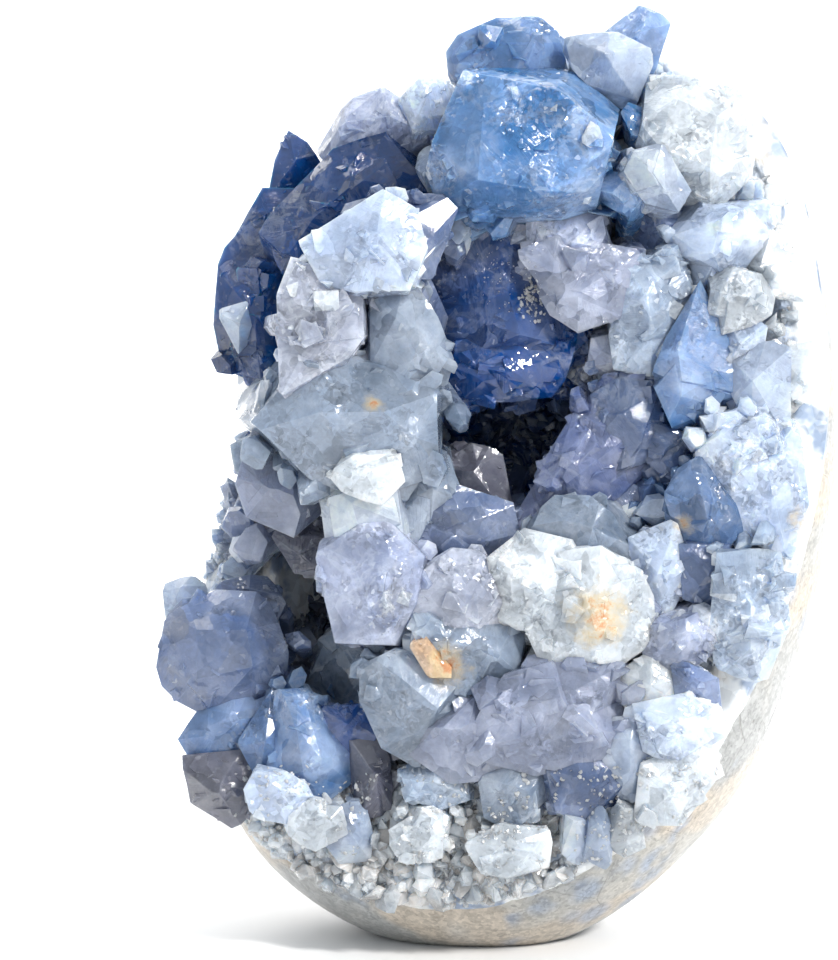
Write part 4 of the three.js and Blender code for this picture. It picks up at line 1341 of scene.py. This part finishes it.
def dust_over(name, places, least, most, kinds, draw):
    """White grains on a cluster, where its surface is seen over each place."""
    host = bpy.data.objects[name]
    blocks = []
    for x, z in places:
        hit, at, normal, _ = host.ray_cast(EYE * MM, (sighted(x, z, 0) - EYE) * MM)
        if hit:
            size = draw.uniform(least, most)
            lean = (normal + anywhere(draw, 0.8)).normalized()
            root = at / MM - normal * size * 0.3
            blocks.append(plant(kinds, root, lean, size, tint("snow"), 1.0, draw))
    return blocks


def strewn(draw, count, left, right, low, high):
    """Places drawn evenly from a rectangle."""
    return [(draw.uniform(left, right), draw.uniform(low, high)) for _ in range(count)]


class GEODE_OT_fillers(bpy.types.Operator):
    """Grows middle-sized crystals in the gaps between the large ones"""
    bl_idname = "geode.fillers"
    bl_label = "Gap crystals"

    def execute(self, context):
        draw = random.Random(GAP_SEED)
        blocks = []
        rows, columns = int(140 / GAP_PITCH), int(108 / GAP_PITCH)
        for place in range(rows * columns):
            row, column = divmod(place, columns)
            x = -52 + (column + draw.uniform(0.1, 0.9)) * GAP_PITCH
            z = 26 + (row + draw.uniform(0.1, 0.9)) * GAP_PITCH
            if polish_at(x, z) or reach_of(x, z) > 0.93 or in_hollow(x, z) or covered(x, z):
                continue
            out = sum(large.out for large, _ in nearby(x, z)) / 3 - draw.uniform(1, 4)
            at = sighted(x, z, max(out, 2 - bed_depth(x, z)))
            away = Vector((x - EGG_CENTRE_X, -60, z - EGG_CENTRE_Z)).normalized()
            like = draw.choice(nearby(x, z, 2))[0]
            blocks.append(grow_side(at - away * 5, draw.uniform(4, 7), away, like, draw))
        kinds = small_crystals(draw)
        spots = [(draw.uniform(-34, 38), draw.triangular(6, 34, 18)) for _ in range(480)]
        spots += strewn(draw, 260, -44, -14, 36, 72)
        spots += strewn(draw, 110, -10, 18, 66, 92)
        for x, z in spots:
            if covered(x, z) or polish_at(x, z) or reach_of(x, z) > 0.96:
                continue
            root = Vector((x, bed_depth(x, z), z))
            lean = (Vector((0, -1, -0.2)) + anywhere(draw, 0.7)).normalized()
            size = draw.uniform(2.5, 5.5)
            blocks.append(plant(kinds, root - lean * size * 0.3, lean, size,
                                local_tint(x, z, draw), float(draw.random() < 0.5), draw))
        finish_cluster(blocks, "gap_crystals")
        return {"FINISHED"}


class GEODE_OT_druse(bpy.types.Operator):
    """Strews small frosted crystals over the bed, its hollows and its lip"""
    bl_idname = "geode.druse"
    bl_label = "Druse"

    def execute(self, context):
        draw = random.Random(DRUSE_SEED)
        kinds = small_crystals(draw)
        bed = bpy.data.objects["crust_bed"].data
        shown = [face for face in bed.polygons
                 if face.center.y < 0.001 * cut_depth(face.center.x / MM, face.center.z / MM)
                 + 0.0005 or face.normal.y < -0.2]
        blocks = []
        weights = [face.area * (2.4 if face.center.z < 0.045 else 1) for face in shown]
        for face in draw.choices(shown, weights=weights, k=DRUSE_TRIES):
            at = face.center / MM + anywhere(draw, 0.6)
            lean = (face.normal + anywhere(draw, 0.6)).normalized()
            hidden = covered(*over(at)) and reach_of(at.x, at.z) < RIM_FROM
            if hidden or polish_at(at.x, at.z) > draw.random():
                continue
            size = sizes("druse") * draw.choice((0.4, 0.6, 0.8, 1.0, 1.4))
            if at.z < 42:
                size *= draw.uniform(0.4, 1.3)
                lean = (lean + Vector((0, -0.6, 0.3))).normalized()
                at -= lean * size * 0.2
            blocks.append(plant(kinds, at, lean, size, local_tint(at.x, at.z, draw), 1.0, draw))
        patch = [(draw.gauss(5.5, 1.1), draw.gauss(102, 1.3)) for _ in range(60)]
        specks = [(draw.gauss(2, 3), draw.gauss(107, 4)) for _ in range(90)]
        blocks += dust_over("indigo_and_prisms", patch, 0.4, 1.1, kinds, draw)
        blocks += dust_over("indigo_and_prisms", specks, 0.15, 0.4, kinds, draw)
        for name in ("frosty_foot", "blue_blocks", "lower_right"):
            spots = [(x, z) for x, z in strewn(draw, 1100, -42, 36, 10, 27)
                     if noise.noise(Vector((x, 5, z)) * 0.3) > 0]
            blocks += dust_over(name, spots, 0.3, 1.1, kinds, draw)
        settle_piece(join_blocks(blocks, "druse"), "druse", ["frosted_druse"], 0)
        return {"FINISHED"}


def add_light(name, kind, toward, distance, **settings):
    """A warm white light that looks at the stone from a direction."""
    light = bpy.data.lights.new(name, kind)
    light.color = (1.0, 0.98, 0.95)
    for setting, value in settings.items():
        setattr(light, setting, value)
    lamp = add_object(name, light)
    toward = Vector(toward).normalized()
    lamp.location = Vector((0, 0, 0.08)) + toward * distance
    lamp.rotation_euler = toward.to_track_quat("Z", "Y").to_euler()


class GEODE_OT_stage(bpy.types.Operator):
    """Lays the pale floor and sets the lights and the camera"""
    bl_idname = "geode.stage"
    bl_label = "Floor, lights and camera"

    def execute(self, context):
        scene = context.scene
        bend_from, bend = 1.0, 0.8  # behind the stone, the floor curves up into a wall
        bm = bmesh.new()
        bmesh.ops.create_grid(bm, x_segments=2, y_segments=240, size=12)
        for vert in bm.verts:
            back = vert.co.y - bend_from
            if back > 0:
                turn = min(back / bend, math.pi / 2)
                climb = max(back - bend * math.pi / 2, 0)
                vert.co.y = bend_from + bend * math.sin(turn)
                vert.co.z = bend * (1 - math.cos(turn)) + climb
        mesh = bpy.data.meshes.new("floor")
        bm.to_mesh(mesh)
        bm.free()
        mesh.shade_smooth()
        mesh.materials.append(finish_of("pale_paper"))
        floor = add_object("floor", mesh)

        world = bpy.data.worlds.new("white_room")
        world.use_nodes = True
        background = world.node_tree.nodes["Background"]
        background.inputs["Color"].default_value = (0.88, 0.94, 1.0, 1)
        background.inputs["Strength"].default_value = scene.stage_settings.fill
        scene.world = world
        add_light("key", "SUN", (1, -1, 1), 0, energy=scene.stage_settings.key,
                  angle=math.radians(9))
        add_light("backdrop_wash", "AREA", (-0.2, 0.55, 1.0), 1.6, shape="SQUARE", size=1.2,
                  energy=12)

        lens = bpy.data.cameras.new("camera")
        lens.sensor_fit = "VERTICAL"
        lens.sensor_height = 36
        lens.lens = LENS
        camera = scene.camera = add_object("camera", lens)
        camera.location = EYE * MM
        facing = EYE_TARGET * MM - camera.location
        camera.rotation_euler = facing.to_track_quat("-Z", "Y").to_euler()
        scene.view_settings.view_transform = "Standard"
        scene.cycles.max_bounces = 5
        scene.cycles.diffuse_bounces = 2
        scene.cycles.transmission_bounces = 4
        scene.cycles.adaptive_threshold = 0.08
        scene.cycles.use_denoising = True
        return {"FINISHED"}


class GEODE_PT_panel(bpy.types.Panel):
    bl_label = "Celestite geode"
    bl_idname = "GEODE_PT_panel"
    bl_space_type = "VIEW_3D"
    bl_region_type = "UI"
    bl_category = "Geode"

    def draw(self, context):
        for holder in HOLDERS:
            box = self.layout.box()
            group = getattr(context.scene, holder)
            for name in group.bl_rna.properties.keys():
                if name not in ("rna_type", "name"):
                    box.prop(group, name)
        for operator in OPERATORS:
            self.layout.operator(operator.bl_idname)


OPERATORS = (GEODE_OT_stage, GEODE_OT_rind, GEODE_OT_bed, GEODE_OT_clusters,
             GEODE_OT_fillers, GEODE_OT_druse)
HOLDERS = {"geode_sizes": GeodeSizes, "crystal_colours": CrystalColours,
           "stone_colours": StoneColours, "stage_settings": StageSettings}


def register():
    for made in (*HOLDERS.values(), *OPERATORS, GEODE_PT_panel):
        bpy.utils.register_class(made)
    for name, holder in HOLDERS.items():
        setattr(bpy.types.Scene, name, bpy.props.PointerProperty(type=holder))


def unregister():
    for name in HOLDERS:
        delattr(bpy.types.Scene, name)
    for made in (GEODE_PT_panel, *reversed(OPERATORS), *HOLDERS.values()):
        bpy.utils.unregister_class(made)


def main():
    register()
    bpy.ops.geode.stage()
    bpy.ops.geode.rind()
    bpy.ops.geode.bed()
    bpy.ops.geode.clusters()
    bpy.ops.geode.fillers()
    bpy.ops.geode.druse()


if __name__ == "__main__":
    main()
